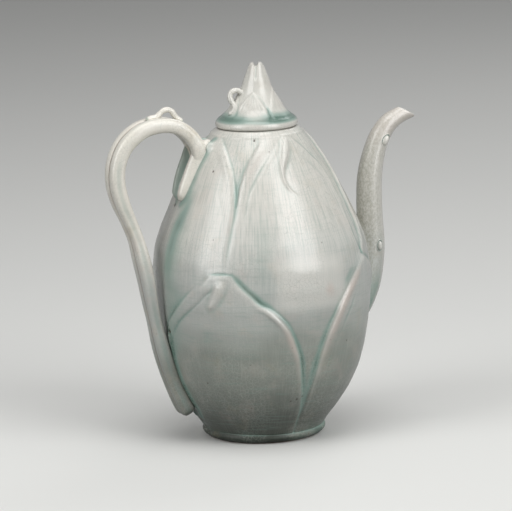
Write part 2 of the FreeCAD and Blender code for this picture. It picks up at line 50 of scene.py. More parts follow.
# %% [markdown]
# ## Smooth lines
# A potter's curves have no corners. Two helpers draw them. The first runs a smooth line through measured
# places, for rolls of clay and carved lines. The second is a spline drawn by a few control points. The thrown
# wall follows it here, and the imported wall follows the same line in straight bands.

# %% Runs along a line, and a smooth line through measured places
SAME_PLACE = 1e-6


def path_length(path):
    """Run along a path, place by place."""
    return np.concatenate([[0.0], np.cumsum(np.linalg.norm(np.diff(path, axis=0), axis=1))])


def smooth_run(places, steps=8):
    """Cubic pieces through the places, with slopes taken from the neighbours."""
    places = np.asarray(places, float)
    moved = np.diff(path_length(places)) > SAME_PLACE
    places = places[np.concatenate([[True], moved])]
    knots = path_length(places)
    slopes = np.gradient(places, knots, axis=0)
    share = np.linspace(0, 1, steps, endpoint=False)[:, None]
    pieces = []
    for start, end, slope, next_slope, length in zip(
        places[:-1], places[1:], slopes[:-1], slopes[1:], np.diff(knots)
    ):
        rise = share * share * (3 - 2 * share)
        leave = share * (1 - share) ** 2
        arrive = share * share * (share - 1)
        pieces.append(start + (end - start) * rise + (slope * leave + next_slope * arrive) * length)
    return np.vstack(pieces + [places[-1:]])


# %% A spline drawn by control points
def drawn_curve(poles, steps=400):
    """A cubic spline drawn by its control points, from the first to the last."""
    poles = np.asarray(poles, float)
    spans = len(poles) - 3
    places = []
    for run in np.linspace(0, spans, steps):
        span = min(int(run), spans - 1)
        near = list(poles[span : span + 4])
        for level in (1, 2, 3):
            for index in range(3, level - 1, -1):
                low = max(span + index - 3, 0)
                high = min(span + index + 1 - level, spans)
                blend = (run - low) / (high - low)
                near[index] = near[index - 1] * (1 - blend) + near[index] * blend
        places.append(near[3])
    return np.array(places)


# %% Soft steps and humps
def eased(value, low, high):
    """0 below low, 1 above high, with a soft slope between."""
    share = np.clip((value - low) / (high - low), 0, 1)
    return share * share * (3 - 2 * share)


def bump(distance, width):
    """A soft hump over a line, as wide as a tool mark."""
    return np.exp(-((distance / width) ** 2))


# %% [markdown]
# ## The thrown wall
# The body is thrown on the wheel as an egg: narrow foot, full belly low down, sloping shoulder, small mouth.
# It could be a lathe object with a Screw modifier, but the sheaths have to be carved into it. So it is a
# grid wrapped round the axis, with rows spaced evenly along the wall, whose points can each be pushed
# outward by the carving. Pots sag a little in the kiln, so at the end each ring also moves aside by what the
# photograph shows.

# %% The wall's outline, in millimetres: radius and height
WALL_POLES = [
    (34, 6), (47.7, 27.4), (56.4, 41.2), (63.7, 103.8), (55.6, 123.7), (33.3, 170.3), (23, 178.7),
]
WALL_LINE_STEPS = 1200
ROWS_UP = 400
ROWS_AROUND = 720
wall_line = drawn_curve(WALL_POLES, WALL_LINE_STEPS)
wall_runs = path_length(wall_line)
row_runs = np.linspace(0, wall_runs[-1], ROWS_UP)
row_radius = np.interp(row_runs, wall_runs, wall_line[:, 0])
row_height = np.interp(row_runs, wall_runs, wall_line[:, 1])
row_slope = np.gradient(np.stack([row_radius, row_height], 1), row_runs, axis=0)
row_normal = np.stack([row_slope[:, 1], -row_slope[:, 0]], 1)
row_normal /= np.linalg.norm(row_normal, axis=1)[:, None]
column_turn = np.linspace(-180, 180, ROWS_AROUND, endpoint=False)
print("wall: widest radius", round(row_radius.max(), 1), "length up the wall", round(wall_runs[-1], 1))


def wall_radius_at(height):
    """The plain wall's radius at a height."""
    return np.interp(height, wall_line[:, 1], wall_line[:, 0])


# %% The sag: height, and how far the pot leans aside toward the handle
SAG = np.array([(0, 1.5), (8, 1.7), (40, 0.9), (80, 0.4), (100, 0.2), (140, 0.35), (168, 0.65), (178, 0.3)])
SAG_TURN = math.radians(158.0)


def sagged(rings, sag=SAG):
    """Moves rings aside by the sag at their height."""
    aside = np.interp(rings[:, :, 2], sag[:, 0], sag[:, 1])
    return rings + np.stack([aside * math.cos(SAG_TURN), aside * math.sin(SAG_TURN), np.zeros_like(aside)], 2)


def turned_from(angle, centre):
    """Degrees between two directions, from -180 to 180."""
    return (np.asarray(angle) - centre + 180.0) % 360.0 - 180.0


# %% [markdown]
# ## Drawing on the wall
# The carver draws sheath edges on the leather-hard clay and cuts away beside them. Here each line is a list
# of places: degrees round the wall (-90 faces the front, 0 the spout, 180 the handle) and height. For every
# point of the grid near a line we measure how far away it is, on which side and how far along, all in
# millimetres on the clay. That is all that a groove, a rolled edge or a step needs.

# %% Distance from a drawn line
SHORTEST_SQUARED = 1e-9


def on_sagged_wall(places):
    """Turns places a little, so that a line stays where it was measured once the wall has sagged."""
    places = np.array(places, float).reshape(-1, 2)
    aside = np.interp(places[:, 1], SAG[:, 0], SAG[:, 1]) / wall_radius_at(places[:, 1])
    places[:, 0] += np.degrees(aside * np.sin(np.radians(places[:, 0]) - SAG_TURN))
    return places


def near_line(places, reach, steps=5):
    """Distance, signed distance (right of a line that runs down is positive) and share along, on the grid."""
    path = smooth_run(on_sagged_wall(places), steps)
    centre = path[:, 0].mean()
    turns = np.radians(turned_from(path[:, 0], centre))
    runs = np.interp(path[:, 1], wall_line[:, 1], wall_runs)
    distance = np.full((ROWS_UP, ROWS_AROUND), float(reach))
    signed = np.full((ROWS_UP, ROWS_AROUND), float(reach))
    along = np.zeros((ROWS_UP, ROWS_AROUND))
    rows = np.nonzero((row_runs > runs.min() - reach) & (row_runs < runs.max() + reach))[0]
    spread = np.degrees(np.abs(turns).max()) + np.degrees(reach / row_radius[rows].min())
    columns = np.nonzero(np.abs(turned_from(column_turn, centre)) < spread)[0]
    window = np.ix_(rows, columns)
    radius = row_radius[rows][:, None]
    across = np.radians(turned_from(column_turn[columns], centre))[None, :] * radius
    up = np.broadcast_to(row_runs[rows][:, None], across.shape)
    best = np.full(across.shape, float(reach))
    side = np.ones(across.shape)
    share = np.zeros(across.shape)
    for step in range(len(path) - 1):
        start_across, start_up = turns[step] * radius, runs[step]
        step_across, step_rise = (turns[step + 1] - turns[step]) * radius, runs[step + 1] - runs[step]
        from_across, from_up = across - start_across, up - start_up
        length_squared = np.maximum(step_across**2 + step_rise**2, SHORTEST_SQUARED)
        part = np.clip((from_across * step_across + from_up * step_rise) / length_squared, 0, 1)
        away = np.hypot(from_across - part * step_across, from_up - part * step_rise)
        closer = away < best
        best = np.where(closer, away, best)
        side = np.where(closer, np.sign(step_across * from_up - step_rise * from_across), side)
        share = np.where(closer, (step + part) / (len(path) - 1), share)
    distance[window] = best
    signed[window] = best * np.where(side == 0, 1, side)
    along[window] = share
    return distance, signed, along


# %% Inside a leaf, and the same on the far side
LEAF_REACH = 12.0


def inside_leaf(left, right, top=()):
    """Signed distance to a leaf's edge: positive inside, between its left and right edges."""
    left, right = smooth_run(left, 5), smooth_run(right, 5)
    edge = np.vstack([left[::-1], np.asarray(top, float).reshape(-1, 2), right])
    distance, _, _ = near_line(edge, LEAF_REACH, 1)
    left, right = on_sagged_wall(left), on_sagged_wall(right)
    centre = (left[:, 0].mean() + right[:, 0].mean()) / 2
    turn = turned_from(column_turn, centre)[None, :]
    left_turn = np.interp(row_height, left[::-1, 1], turned_from(left[::-1, 0], centre))
    right_turn = np.interp(row_height, right[::-1, 1], turned_from(right[::-1, 0], centre))
    highest = max(left[0, 1], right[0, 1])
    inside = (turn > left_turn[:, None]) & (turn < right_turn[:, None]) & (row_height < highest)[:, None]
    return np.where(inside, distance, -distance)


def both_sides(field):
    """The carving repeats on the far side of the ewer, half a turn round."""
    return field + np.roll(field, ROWS_AROUND // 2, axis=1)


# %% [markdown]
# ## The lines of the sheaths
# These follow the photograph. Four broad sheaths come down from the neck and meet in seams, which leaves
# pointed gaps at the shoulder. Four more wrap the lower belly and overlap them. A knife cuts deep and lifts
# again, so each line's strengths are rows of values from its start to its end.

# %% Places on the wall: degrees round, height in millimetres
SEAM_LEFT = [
    (-165, 177), (-157, 173.8), (-149.5, 170.5), (-143.3, 166.7), (-138, 162.2), (-134.3, 157.9),
    (-131.8, 153.2), (-130.2, 148.8), (-128.8, 143.7), (-128.2, 139.3),
]
SEAM_LEFT_LOW = [
    (-128.3, 134.8), (-129, 129.7), (-129.6, 124.5), (-130.2, 119.3), (-130.8, 113), (-131.4, 105.9),
]
FRONT_SHEATH_LEFT = [
    (-105.3, 177), (-110.3, 172.6), (-114.8, 168.8), (-118.7, 164.9), (-121.5, 161.3), (-124, 157.3),
    (-125.7, 152.9), (-126.7, 148.8), (-127.2, 144.4), (-128.2, 139.3),
]
FRONT_FOLD_LEFT = [
    (-91.2, 172.4), (-101.2, 165.9), (-108.4, 160.3), (-113.3, 155.3), (-116.5, 151), (-119, 147.4),
    (-120, 143.7), (-120.6, 139.3), (-121.7, 134.9), (-122.7, 129), (-123.7, 123.1), (-124.2, 115),
]
BACK_FOLD_RIGHT = [(-144, 147.3), (-141, 143.3), (-138.3, 139), (-136.1, 133.9), (-134.9, 127)]
BACK_SHEATH_EDGE = [
    (-160, 153), (-163, 148), (-166, 141), (-169, 134), (-171, 126), (-171.5, 118), (-172, 110),
    (-173, 102), (-175, 94),
]
FRONT_SHEATH_RIGHT = [
    (-70.3, 176.5), (-68.4, 174.5), (-63.3, 171.2), (-58, 167.7), (-53.5, 163.4), (-48.6, 159.8),
    (-44.8, 155.4), (-43.5, 150.5), (-43.4, 145), (-43.6, 140.1), (-44.5, 133.2), (-45.5, 126.2),
    (-46, 119.9), (-45.5, 113.5), (-43, 107),
]
FRONT_FOLD_RIGHT = [
    (-74.1, 167.4), (-69.8, 164.9), (-64.2, 161.7), (-58, 157.3), (-53.3, 152.9), (-50.8, 148.3),
    (-50.4, 143.5), (-50.8, 136),
]
SPOUT_SHEATH_LEFT = [
    (-20, 176), (-24.5, 170.4), (-26, 164.8), (-26.6, 158.7), (-28, 151.6), (-31, 144.9),
    (-33.5, 136.3), (-34.6, 129.2), (-36.1, 121.4), (-38.5, 115.2), (-43, 107),
]
LOW_LEFT_EDGE = [
    (-141, 103.6), (-144.2, 100.6), (-147.3, 97.5), (-151.1, 94.3), (-154.7, 91.1), (-158.1, 87.8),
    (-161.9, 84), (-165.5, 80.2), (-169.2, 76.3), (-172, 73), (-175, 66), (-176.5, 56), (-177, 44),
    (-176.5, 30), (-175, 8),
]
LOW_LEFT_BAR = [(-141, 103.6), (-137.9, 103.9), (-133.9, 104.2), (-130.4, 104.2), (-128.1, 103.9)]
LOW_LEFT_RIGHT_EDGE = [
    (-127.8, 103.5), (-124.8, 99.9), (-120.9, 95.5), (-117, 91.5), (-113.2, 87.3), (-108.5, 84.3),
    (-104.9, 80.9), (-101.3, 76.9), (-98.3, 72.6), (-95.9, 67.4), (-93.9, 62.2), (-92.1, 57.1),
    (-90.7, 51), (-89.9, 45), (-89, 38), (-87.9, 30.7), (-87.2, 21.3), (-87, 8),
]
LOW_LEFT_FOLD = [
    (-137.6, 95.8), (-139.7, 93.9), (-142.4, 91.9), (-147, 87), (-153.1, 81.9), (-159, 77.1),
    (-163.9, 72.2), (-167.5, 67.9), (-170.5, 62.4), (-172.6, 57.9), (-174.4, 50),
]
LOW_BLADE_LEFT = [
    (-137.2, 101.5), (-137.8, 96.6), (-139.1, 92.5), (-140.9, 88.4), (-141.8, 85), (-140.8, 83.3),
]
LOW_BLADE_RIGHT = [
    (-130, 101.5), (-131.1, 96.5), (-132.2, 93.3), (-133.9, 90), (-136.1, 86.7), (-138.7, 84.1),
    (-140.8, 83.3),
]
LOW_RIGHT_EDGE = [
    (-44.5, 106.8), (-50.4, 102.9), (-53.4, 99.8), (-57.4, 95.8), (-61.3, 91.6), (-64.7, 86.6),
    (-67.7, 81.5), (-70.6, 75.8), (-73.2, 71), (-75.4, 66.4), (-77.4, 60.9), (-79.2, 55.4),
    (-80.5, 49.7), (-81.7, 43.9), (-82.6, 38), (-83.4, 32.8), (-83.9, 27.5), (-84.4, 20), (-84.6, 8),
]
LOW_RIGHT_FAR_EDGE = [
    (-44.5, 106.8), (-36, 103), (-28, 98), (-21, 91), (-16, 83), (-12, 74), (-8, 65), (-5, 57),
    (-3, 50), (-2, 42), (-2, 30), (-3, 8),
]
LOW_RIGHT_FOLD = [
    (-53.5, 88), (-55.3, 84.8), (-57.1, 81.1), (-59.4, 77.5), (-62.1, 73.1), (-64, 68.5), (-66.8, 63.3),
    (-70.3, 55.6), (-72.5, 49.3), (-73.9, 42.7), (-73.8, 35.8), (-72.7, 29),
]
LOW_RIGHT_FAR_FOLD = [(-36, 97), (-30, 88), (-24, 78), (-20, 68), (-16, 56), (-14, 44)]
SHOULDER_BLADE_LEFT = [
    (-82.1, 177), (-85.2, 173.2), (-88.7, 169), (-91.3, 165.5), (-93.5, 161.2), (-94.2, 156.8),
    (-93.6, 152.4), (-91.4, 148.5), (-88.4, 146.1), (-85.1, 144.6),
]
SHOULDER_BLADE_RIGHT = [
    (-74.3, 177), (-74.4, 174.1), (-76.1, 170.5), (-79.4, 167), (-83.3, 163.6), (-87.2, 160.1),
    (-89.9, 157.3), (-91, 154.4), (-90.5, 151.4), (-88.4, 147.9), (-85.1, 144.6),
]

# %% [markdown]
# ## Carving
# The upper sheaths stand 0.9 mm off the wall and the lower ones 2 mm, as in the imported model. On top of that
# come the marks of the knife: grooves where two sheaths meet, rolled edges and soft folds. More fields are
# kept for the glaze: where it pools, where a few marks lay painted shade, and where the clay shows warm and
# pinkish through a thin coat.

# %% Marks along the lines, and how far to each side they reach
MARK_REACH = 9.0
knife_marks, glaze_pool_and_shade, warm_clay = np.zeros((3, ROWS_UP, ROWS_AROUND))


def strength(along, values):
    """A strength that changes along a line, in even steps from its start to its end."""
    return np.interp(along, np.linspace(0, 1, len(values)), values)


def mark(
    places, groove=(0, 0), width=1.0, ridge=(0, 0), ridge_side=0.0, ridge_width=1.8,
    pool_and_shade=(0, 0), pool_side=0.0, pool_width=1.4, pink=(0, 0),
):
    """A groove on the line, a rolled ridge, pooled glaze with painted shade at a few marks, and the warm clay.
    """
    distance, signed, along = near_line(places, MARK_REACH)
    knife_marks[:] += strength(along, ridge) * bump(signed - ridge_side, ridge_width)
    knife_marks[:] -= strength(along, groove) * bump(distance, width)
    glaze_pool_and_shade[:] += strength(along, pool_and_shade) * bump(signed - pool_side, pool_width)
    warm_clay[:] += strength(along, pink) * bump(signed - ridge_side, 1.5 * ridge_width)


def step_up(signed, blur=1.1):
    """The soft edge of a layer of clay laid on another."""
    return eased(signed, -blur, blur)


# %% The upper tier
left_gap = inside_leaf(SEAM_LEFT, FRONT_SHEATH_LEFT)
right_gap = inside_leaf(FRONT_SHEATH_RIGHT, SPOUT_SHEATH_LEFT)
upper_cover = 1 - both_sides(np.maximum(step_up(left_gap), step_up(right_gap)))
mark(
    SEAM_LEFT + SEAM_LEFT_LOW, groove=(0, 0.1, 0.14, 0.16, 0.22, 0.3, 0.34, 0.3, 0.2, 0), width=1.5,
    ridge=(0.1, 0.26, 0.32, 0.3, 0.26, 0.24, 0.22, 0.18, 0.1, 0), ridge_side=-3.0, ridge_width=2.2,
    pool_and_shade=(0, 0.06, 0.1, 0.12, 0.2, 0.32, 0.34, 0.3, 0.24, 0.02), pool_side=0.2, pool_width=1.8,
)
mark(
    FRONT_SHEATH_LEFT, groove=(0, 0.06, 0.12, 0.16, 0.18, 0.12, 0), width=1.4,
    ridge=(0.1, 0.3, 0.4, 0.4, 0.34, 0.2, 0), ridge_side=3.2, ridge_width=2.4,
    pool_and_shade=(0, 0.02, 0.06, 0.12, 0.18, 0.16, 0.04), pool_side=-0.6, pool_width=2.0,
    pink=(0, 0.3, 0.5, 0.3, 0),
)
mark(
    FRONT_FOLD_LEFT, groove=(0.1, 0.32, 0.38, 0.36, 0.28, 0.18, 0.12, 0.06, 0), width=1.2,
    ridge=(0, 0.16, 0.2, 0.2, 0.16, 0.1, 0.06, 0), ridge_side=2.6, ridge_width=2.2,
    pool_and_shade=(0, 0.08, 0.12, 0.16, 0.16, 0.16, 0.14, 0.08, 0), pool_width=1.6,
)
mark(BACK_FOLD_RIGHT, groove=(0, 0.16, 0.16, 0), width=1.4, pool_and_shade=(0, 0.1, 0.1, 0), pool_width=1.8)
# A carved groove with real pooled glaze; its wide dark band is partly painted shade beside the handle
mark(
    BACK_SHEATH_EDGE, groove=(0, 0.3, 0.3, 0.2, 0), width=3.0,
    pool_and_shade=(0.05, 0.2, 0.3, 0.36, 0.38, 0.28, 0), pool_width=4.6,
)
mark(
    FRONT_SHEATH_RIGHT, groove=(0, 0.3, 0.36, 0.32, 0.3, 0.3, 0.28, 0.26, 0.2, 0), width=0.85,
    ridge=(0, 0.2, 0.24, 0.24, 0.2, 0.2, 0.2, 0.16, 0), ridge_side=-2.2,
    pool_and_shade=(0, 0.1, 0.12, 0.12, 0.16, 0.2, 0.24, 0.26, 0.16), pool_side=0.3, pool_width=1.5,
)
mark(
    FRONT_FOLD_RIGHT, groove=(0, 0.2, 0.24, 0.2, 0.1, 0), width=1.3,
    pool_and_shade=(0, 0.08, 0.1, 0.08, 0.04, 0), pool_width=1.8,
)
mark(
    SPOUT_SHEATH_LEFT, groove=(0, 0.2, 0.24, 0.24, 0.2, 0.1),
    ridge=(0.1, 0.3, 0.46, 0.5, 0.5, 0.46, 0.3, 0), ridge_side=1.8, ridge_width=1.4,
    pool_and_shade=(0, 0.1, 0.12, 0.14, 0.18, 0.2, 0.16), pool_side=-0.8, pool_width=1.8,
)
# Painted shade: a faint darker upright band down the front, where the gap between the softbox reflections
# falls
mark([(-110, 146), (-111.5, 120), (-112, 92)], pool_and_shade=(0, 0.12, 0.16, 0.1), pool_width=6.5)
mark([(-56, 103), (-60, 98), (-65, 92)], pool_and_shade=(0.1, 0.34, 0.3, 0), pool_width=2.6)
upper_marks, upper_pool_and_shade = both_sides(knife_marks), both_sides(glaze_pool_and_shade)
knife_marks[:], glaze_pool_and_shade[:] = 0, 0

# %% The lower tier, with an edge that is crisp low down and softer near its top
CRISP_EDGE = 1.4
SOFTER_EDGE = 3.4
SOFTER_HEIGHTS = (78, 94)
low_left = inside_leaf(LOW_LEFT_EDGE, LOW_LEFT_RIGHT_EDGE, LOW_LEFT_BAR)
low_right = inside_leaf(LOW_RIGHT_EDGE, LOW_RIGHT_FAR_EDGE)
lower_inside = np.maximum(low_left, low_right)
lower_inside = np.maximum(lower_inside, np.roll(lower_inside, ROWS_AROUND // 2, axis=1))
edge_blur = CRISP_EDGE + (SOFTER_EDGE - CRISP_EDGE) * eased(row_height, *SOFTER_HEIGHTS)
lower_cover = step_up(lower_inside, edge_blur[:, None])
mark(
    LOW_LEFT_EDGE, groove=(0.1, 0.16, 0.14, 0.12, 0.1, 0),
    ridge=(0, 0.1, 0.1, 0.06, 0), ridge_side=2.4,
    pool_and_shade=(0, 0.16, 0.22, 0.24, 0.2, 0),
)
mark(
    LOW_LEFT_BAR, groove=(0.1, 0.3, 0.3, 0.1), width=0.9,
    pool_and_shade=(0.2, 0.4, 0.4, 0.2), pool_side=-0.4, pool_width=1.1,
)
mark(
    LOW_LEFT_RIGHT_EDGE, groove=(0.25, 0.5, 0.4, 0.25, 0.35, 0.5, 0.5, 0.4, 0.2, 0), width=1.3,
    ridge=(0, 0, 0, 0.6, 0.7, 0.24, 0.16, 0.12, 0.06, 0, 0), ridge_side=-2.6, ridge_width=1.5,
    pool_and_shade=(0.2, 0.8, 0.8, 0.36, 0.4, 0.5, 0.54, 0.5, 0.3, 0), pool_side=0.4, pool_width=1.9,
    pink=(0, 0, 0, 0.1, 0.5, 0.8, 0.6, 0.3, 0, 0),
)
mark(
    LOW_LEFT_FOLD, groove=(0, 0.3, 0.32, 0.3, 0.24, 0.16, 0), width=0.9,
    ridge=(0, 0.2, 0.24, 0.2, 0.1, 0), ridge_side=-2.6, ridge_width=2.2,
    pool_and_shade=(0, 0.1, 0.14, 0.14, 0.12, 0.1, 0), pool_width=1.1,
)
mark(
    LOW_RIGHT_EDGE, groove=(0.1, 0.3, 0.3, 0.34, 0.4, 0.4, 0.36, 0.26, 0.1, 0),
    ridge=(0.1, 0.3, 0.45, 0.45, 0.36, 0.28, 0.2, 0.1, 0), ridge_side=2.8, ridge_width=2.3,
    pool_and_shade=(0.1, 0.2, 0.22, 0.28, 0.4, 0.46, 0.42, 0.3, 0.14, 0), pool_side=-1.0, pool_width=2.2,
    pink=(0, 0.8, 1.0, 0.8, 0.5, 0.3, 0.1, 0),
)
mark(
    LOW_RIGHT_FAR_EDGE, groove=(0.1, 0.3, 0.3, 0.3, 0.2, 0),
    ridge=(0.1, 0.3, 0.4, 0.4, 0.3, 0.1, 0), ridge_side=-2.4, ridge_width=1.7,
    pool_and_shade=(0.3, 0.5, 0.4, 0.4, 0.3, 0.1, 0), pool_side=0.8,
)
mark(
    LOW_RIGHT_FOLD, groove=(0, 0.28, 0.3, 0.26, 0.2, 0.1, 0), width=0.9,
    pool_and_shade=(0, 0.14, 0.16, 0.14, 0.1, 0.06, 0), pool_width=1.3,
)
mark(LOW_RIGHT_FAR_FOLD, groove=(0, 0.24, 0.24, 0.1, 0), pool_and_shade=(0, 0.2, 0.2, 0.1, 0))
mark([(-141, 75), (-144, 67), (-143, 58)], pool_and_shade=(0, 0.2, 0.2, 0), pool_width=4.5)
mark(
    [(-99, 40), (-98, 26), (-96, 10)], groove=(0, 0.1, 0.1, 0),
    pool_and_shade=(0, 0.14, 0.14, 0), pool_width=1.2,
)
mark([(-74, 98), (-74, 92), (-70, 86)], ridge_width=2.6, pink=(0.2, 0.8, 0.2))
lower_marks, lower_pool = both_sides(knife_marks), both_sides(glaze_pool_and_shade)
print("share of the wall under the lower sheaths", round(float(lower_cover.mean()), 2))

# %% [markdown]
# ## The two curled tips
# A small tongue of clay lies on the front sheath below the neck, and another under the lower sheath's flat
# top. Each is a narrow leaf with a soft crest, thicker in its middle, and a little glaze pools beside it.

# %% Curled tips
TIP_FADE = 5


def curled_tip(left, right, rise, crest, dark, fade_height):
    """A small tongue of clay: how far it stands out, and the pool beside it. It fades out above a height."""
    inside = inside_leaf(left, right)
    fade = 1 - eased(row_height, fade_height - TIP_FADE, fade_height)[:, None]
    height = rise * step_up(inside - 0.3) + crest * eased(inside, 0.2, 2.4)
    return fade * height, fade * dark * bump(inside + 1.0, 1.3)


shoulder_tip, shoulder_tip_pool = curled_tip(
    SHOULDER_BLADE_LEFT, SHOULDER_BLADE_RIGHT, rise=0.5, crest=0.9, dark=0.14, fade_height=176.5,
)
low_tip, low_tip_pool = curled_tip(
    LOW_BLADE_LEFT, LOW_BLADE_RIGHT, rise=0.3, crest=0.45, dark=0.22, fade_height=101.0,
)
tips, tips_pool = both_sides(shoulder_tip + low_tip), both_sides(shoulder_tip_pool + low_tip_pool)
print("tips stand out by", round(float(tips.max()), 2), "mm")

# %% [markdown]
# ## Layers together
# Where a lower sheath lies, the marks of the upper tier are covered. All relief fades toward the foot and
# the mouth. A thin raised line runs round the neck, and the wheel leaves a faint wobble. A few pits, and a
# small lump and a crack by the handle's root, are marks of its making.

# %% Relief of the whole wall
UPPER_RELIEF = 0.9
LOWER_RELIEF = 2.0
NECK_LINE_HEIGHT = 175.6
NECK_LINE_RISE = 0.30
FOOT_SHARE, FOOT_FADE_HEIGHTS = 0.4, (6, 26)
MOUTH_SHARE, MOUTH_FADE_HEIGHTS = 0.15, (168, 178)
GAP_MARK_SHARE = 0.35
heights = np.broadcast_to(row_height[:, None], lower_cover.shape)
turns = np.broadcast_to(np.radians(column_turn)[None, :], lower_cover.shape)
foot_fade = FOOT_SHARE + (1 - FOOT_SHARE) * eased(heights, *FOOT_FADE_HEIGHTS)
mouth_fade = 1 - (1 - MOUTH_SHARE) * eased(heights, *MOUTH_FADE_HEIGHTS)
marks_show = GAP_MARK_SHARE + (1 - GAP_MARK_SHARE) * upper_cover
upper_layer = UPPER_RELIEF * upper_cover + upper_marks * marks_show
lower_layer = LOWER_RELIEF + lower_marks
relief = (upper_layer * (1 - lower_cover) + lower_layer * lower_cover) * foot_fade * mouth_fade + tips
relief += lower_marks * (1 - lower_cover) * foot_fade
relief += NECK_LINE_RISE * bump(heights - NECK_LINE_HEIGHT, 0.6)
slow_wobble, wheel_lines = np.sin(3 * turns + heights / 19), np.sin(heights / 1.9 + 2 * turns)
relief += 0.10 * slow_wobble + 0.06 * wheel_lines
print("relief from", round(relief.min(), 2), "to", round(relief.max(), 2), "mm")

# %% Pits and the root's lump: degrees round, height, radius and depth, which is below zero for the lump
PITS = [
    (-116, 174.3, 0.75, 0.35), (-152, 157.5, 0.7, 0.15), (174.4, 136.6, 1.4, 0.6),
    (-172.6, 67, 1.2, 0.8), (-91.6, 29.7, 0.6, 0.05), (-87.5, 30.4, 0.6, 0.05),
    (-95.6, 28.8, 0.5, 0.05), (-76, 118, 0.4, 0.1), (-101, 168, 0.4, 0.1), (-140, 122, 0.4, 0.05),
    (-60, 60, 0.5, 0.05), (-120, 52, 0.4, 0.05), (-148, 40, 0.5, 0.05), (30, 90, 0.6, 0.1),
    (75, 60, 0.5, 0.1), (120, 140, 0.5, 0.1),
]
ROOT_LUMP = (-169.0, 169.6, 3.0, -1.9)
PIT_REACH = 12.0
PIT_HALF_LENGTH = 0.2
PIT_DIRT_SHARE = 0.8
CRACK_BY_ROOT = [(-168.6, 167.5), (-169.6, 166.0), (-172.2, 158.8)]
CRACK_REACH = 6.0
CRACK_HALF_WIDTH = 0.45
CRACK_DIRT = 0.8
distance, _, _ = near_line(CRACK_BY_ROOT, CRACK_REACH)
soil = CRACK_DIRT * bump(distance, CRACK_HALF_WIDTH)
for turn, height, radius, depth in PITS + [ROOT_LUMP]:
    ends = [(turn, height + PIT_HALF_LENGTH), (turn, height - PIT_HALF_LENGTH)]
    distance, _, _ = near_line(ends, PIT_REACH, 1)
    relief -= depth * bump(distance, radius)
    if depth > 0:
        soil += bump(distance, PIT_DIRT_SHARE * radius)
print("pits", len(PITS), "and dirt in them up to", round(float(soil.max()), 2))

# %% [markdown]
# ## Where the glaze goes
# Molten celadon runs off high edges and gathers in hollows, where it is thick and turns deep blue-green.
# Comparing the carving with a blurred copy of itself finds both: lower than its surroundings is a hollow,
# higher is a crest. Two patches of painted highlight are added to the crests, and two upright bands of
# painted shade to the pools: one in the gap between the two softbox reflections and one beside the handle.

# %% A blurred copy
def blurred(field, rows, columns):
    """A soft average over a window of the grid that closes round the wall."""
    for _ in range(2):
        padded = np.pad(field, ((rows, rows), (0, 0)), mode="edge")
        sums = np.cumsum(np.vstack([np.zeros((1, field.shape[1])), padded]), axis=0)
        field = (sums[2 * rows + 1 :] - sums[: -2 * rows - 1]) / (2 * rows + 1)
        padded = np.hstack([field[:, -columns:], field, field[:, :columns]])
        sums = np.cumsum(np.hstack([np.zeros((field.shape[0], 1)), padded]), axis=1)
        field = (sums[:, 2 * columns + 1 :] - sums[:, : -2 * columns - 1]) / (2 * columns + 1)
    return field


# %% Hollows and crests
NARROW_BLUR = 3
WIDE_BLUR = 8
hollow = blurred(relief, NARROW_BLUR, NARROW_BLUR) - relief
wide_hollow = blurred(relief, WIDE_BLUR, WIDE_BLUR) - relief
pool_and_shade = upper_pool_and_shade * (1 - lower_cover) + lower_pool + tips_pool
pool_and_shade += 0.45 * np.clip(hollow, 0, 1) + 0.3 * np.clip(wide_hollow, 0, 1)
crest = np.clip(-0.9 * hollow, 0, 1) + np.clip(-0.5 * wide_hollow, 0, 1)

# %% Painted highlight patches and painted shade bands: middle and half width in degrees, lowest, highest, how strong
PAINTED_HIGHLIGHT_PATCHES = [(-84, 20, 83, 112, 0.9), (-128, 14, 84, 100, 0.4)]
PAINTED_SHADE_BANDS = [(-109, 6, 88, 150, 0.11), (-168, 10, 55, 150, 0.3)]
# Painted highlight: each patch is added to the crests and turns the glaze paler
for middle_turn, half_turn, low, high, pale in PAINTED_HIGHLIGHT_PATCHES:
    wide = 1 - eased(np.abs(turned_from(column_turn, middle_turn)), half_turn - 6, half_turn + 7)[None, :]
    tall = (eased(row_height, low - 7, low + 6) * (1 - eased(row_height, high - 8, high + 8)))[:, None]
    crest += pale * wide * tall
# Painted shade: each band is added to the pools and turns the glaze darker and greener
for middle_turn, half_turn, low, high, grey in PAINTED_SHADE_BANDS:
    wide = bump(turned_from(column_turn, middle_turn), half_turn)[None, :]
    tall = (eased(row_height, low - 4, low + 4) * (1 - eased(row_height, high - 25, high + 5)))[:, None]
    pool_and_shade += grey * wide * tall
warm_clay = both_sides(warm_clay)
print("deepest pool", round(float(pool_and_shade.max()), 2), "sharpest crest", round(float(crest.max()), 2))

# %% [markdown]
# ## Luted joints
# The spout and the handle are stuck on with slip, which fills the corner at the joint. Along each footprint
# the wall rises a little to meet the piece, and the glaze pools dark there.

# %% Slip along the edge of a footprint, which is given as half widths and heights
JOINT_REACH = 12.0


def degrees_across(width, height):
    """Half the angle that a piece of this half width covers at a height."""
    return math.degrees(math.asin(width / float(wall_radius_at(height))))


def joint(middle, footprint, rise, width, dark, dark_width):
    """Slip and glaze along both edges of a piece stuck on the wall, round its middle in degrees."""
    for side in (-1, 1):
        edge = [(middle + side * degrees_across(out, up), up) for out, up in footprint]
        distance, _, _ = near_line(edge, JOINT_REACH)
        relief[:] += rise * bump(distance, width)
        pool_and_shade[:] += dark * bump(distance, dark_width)


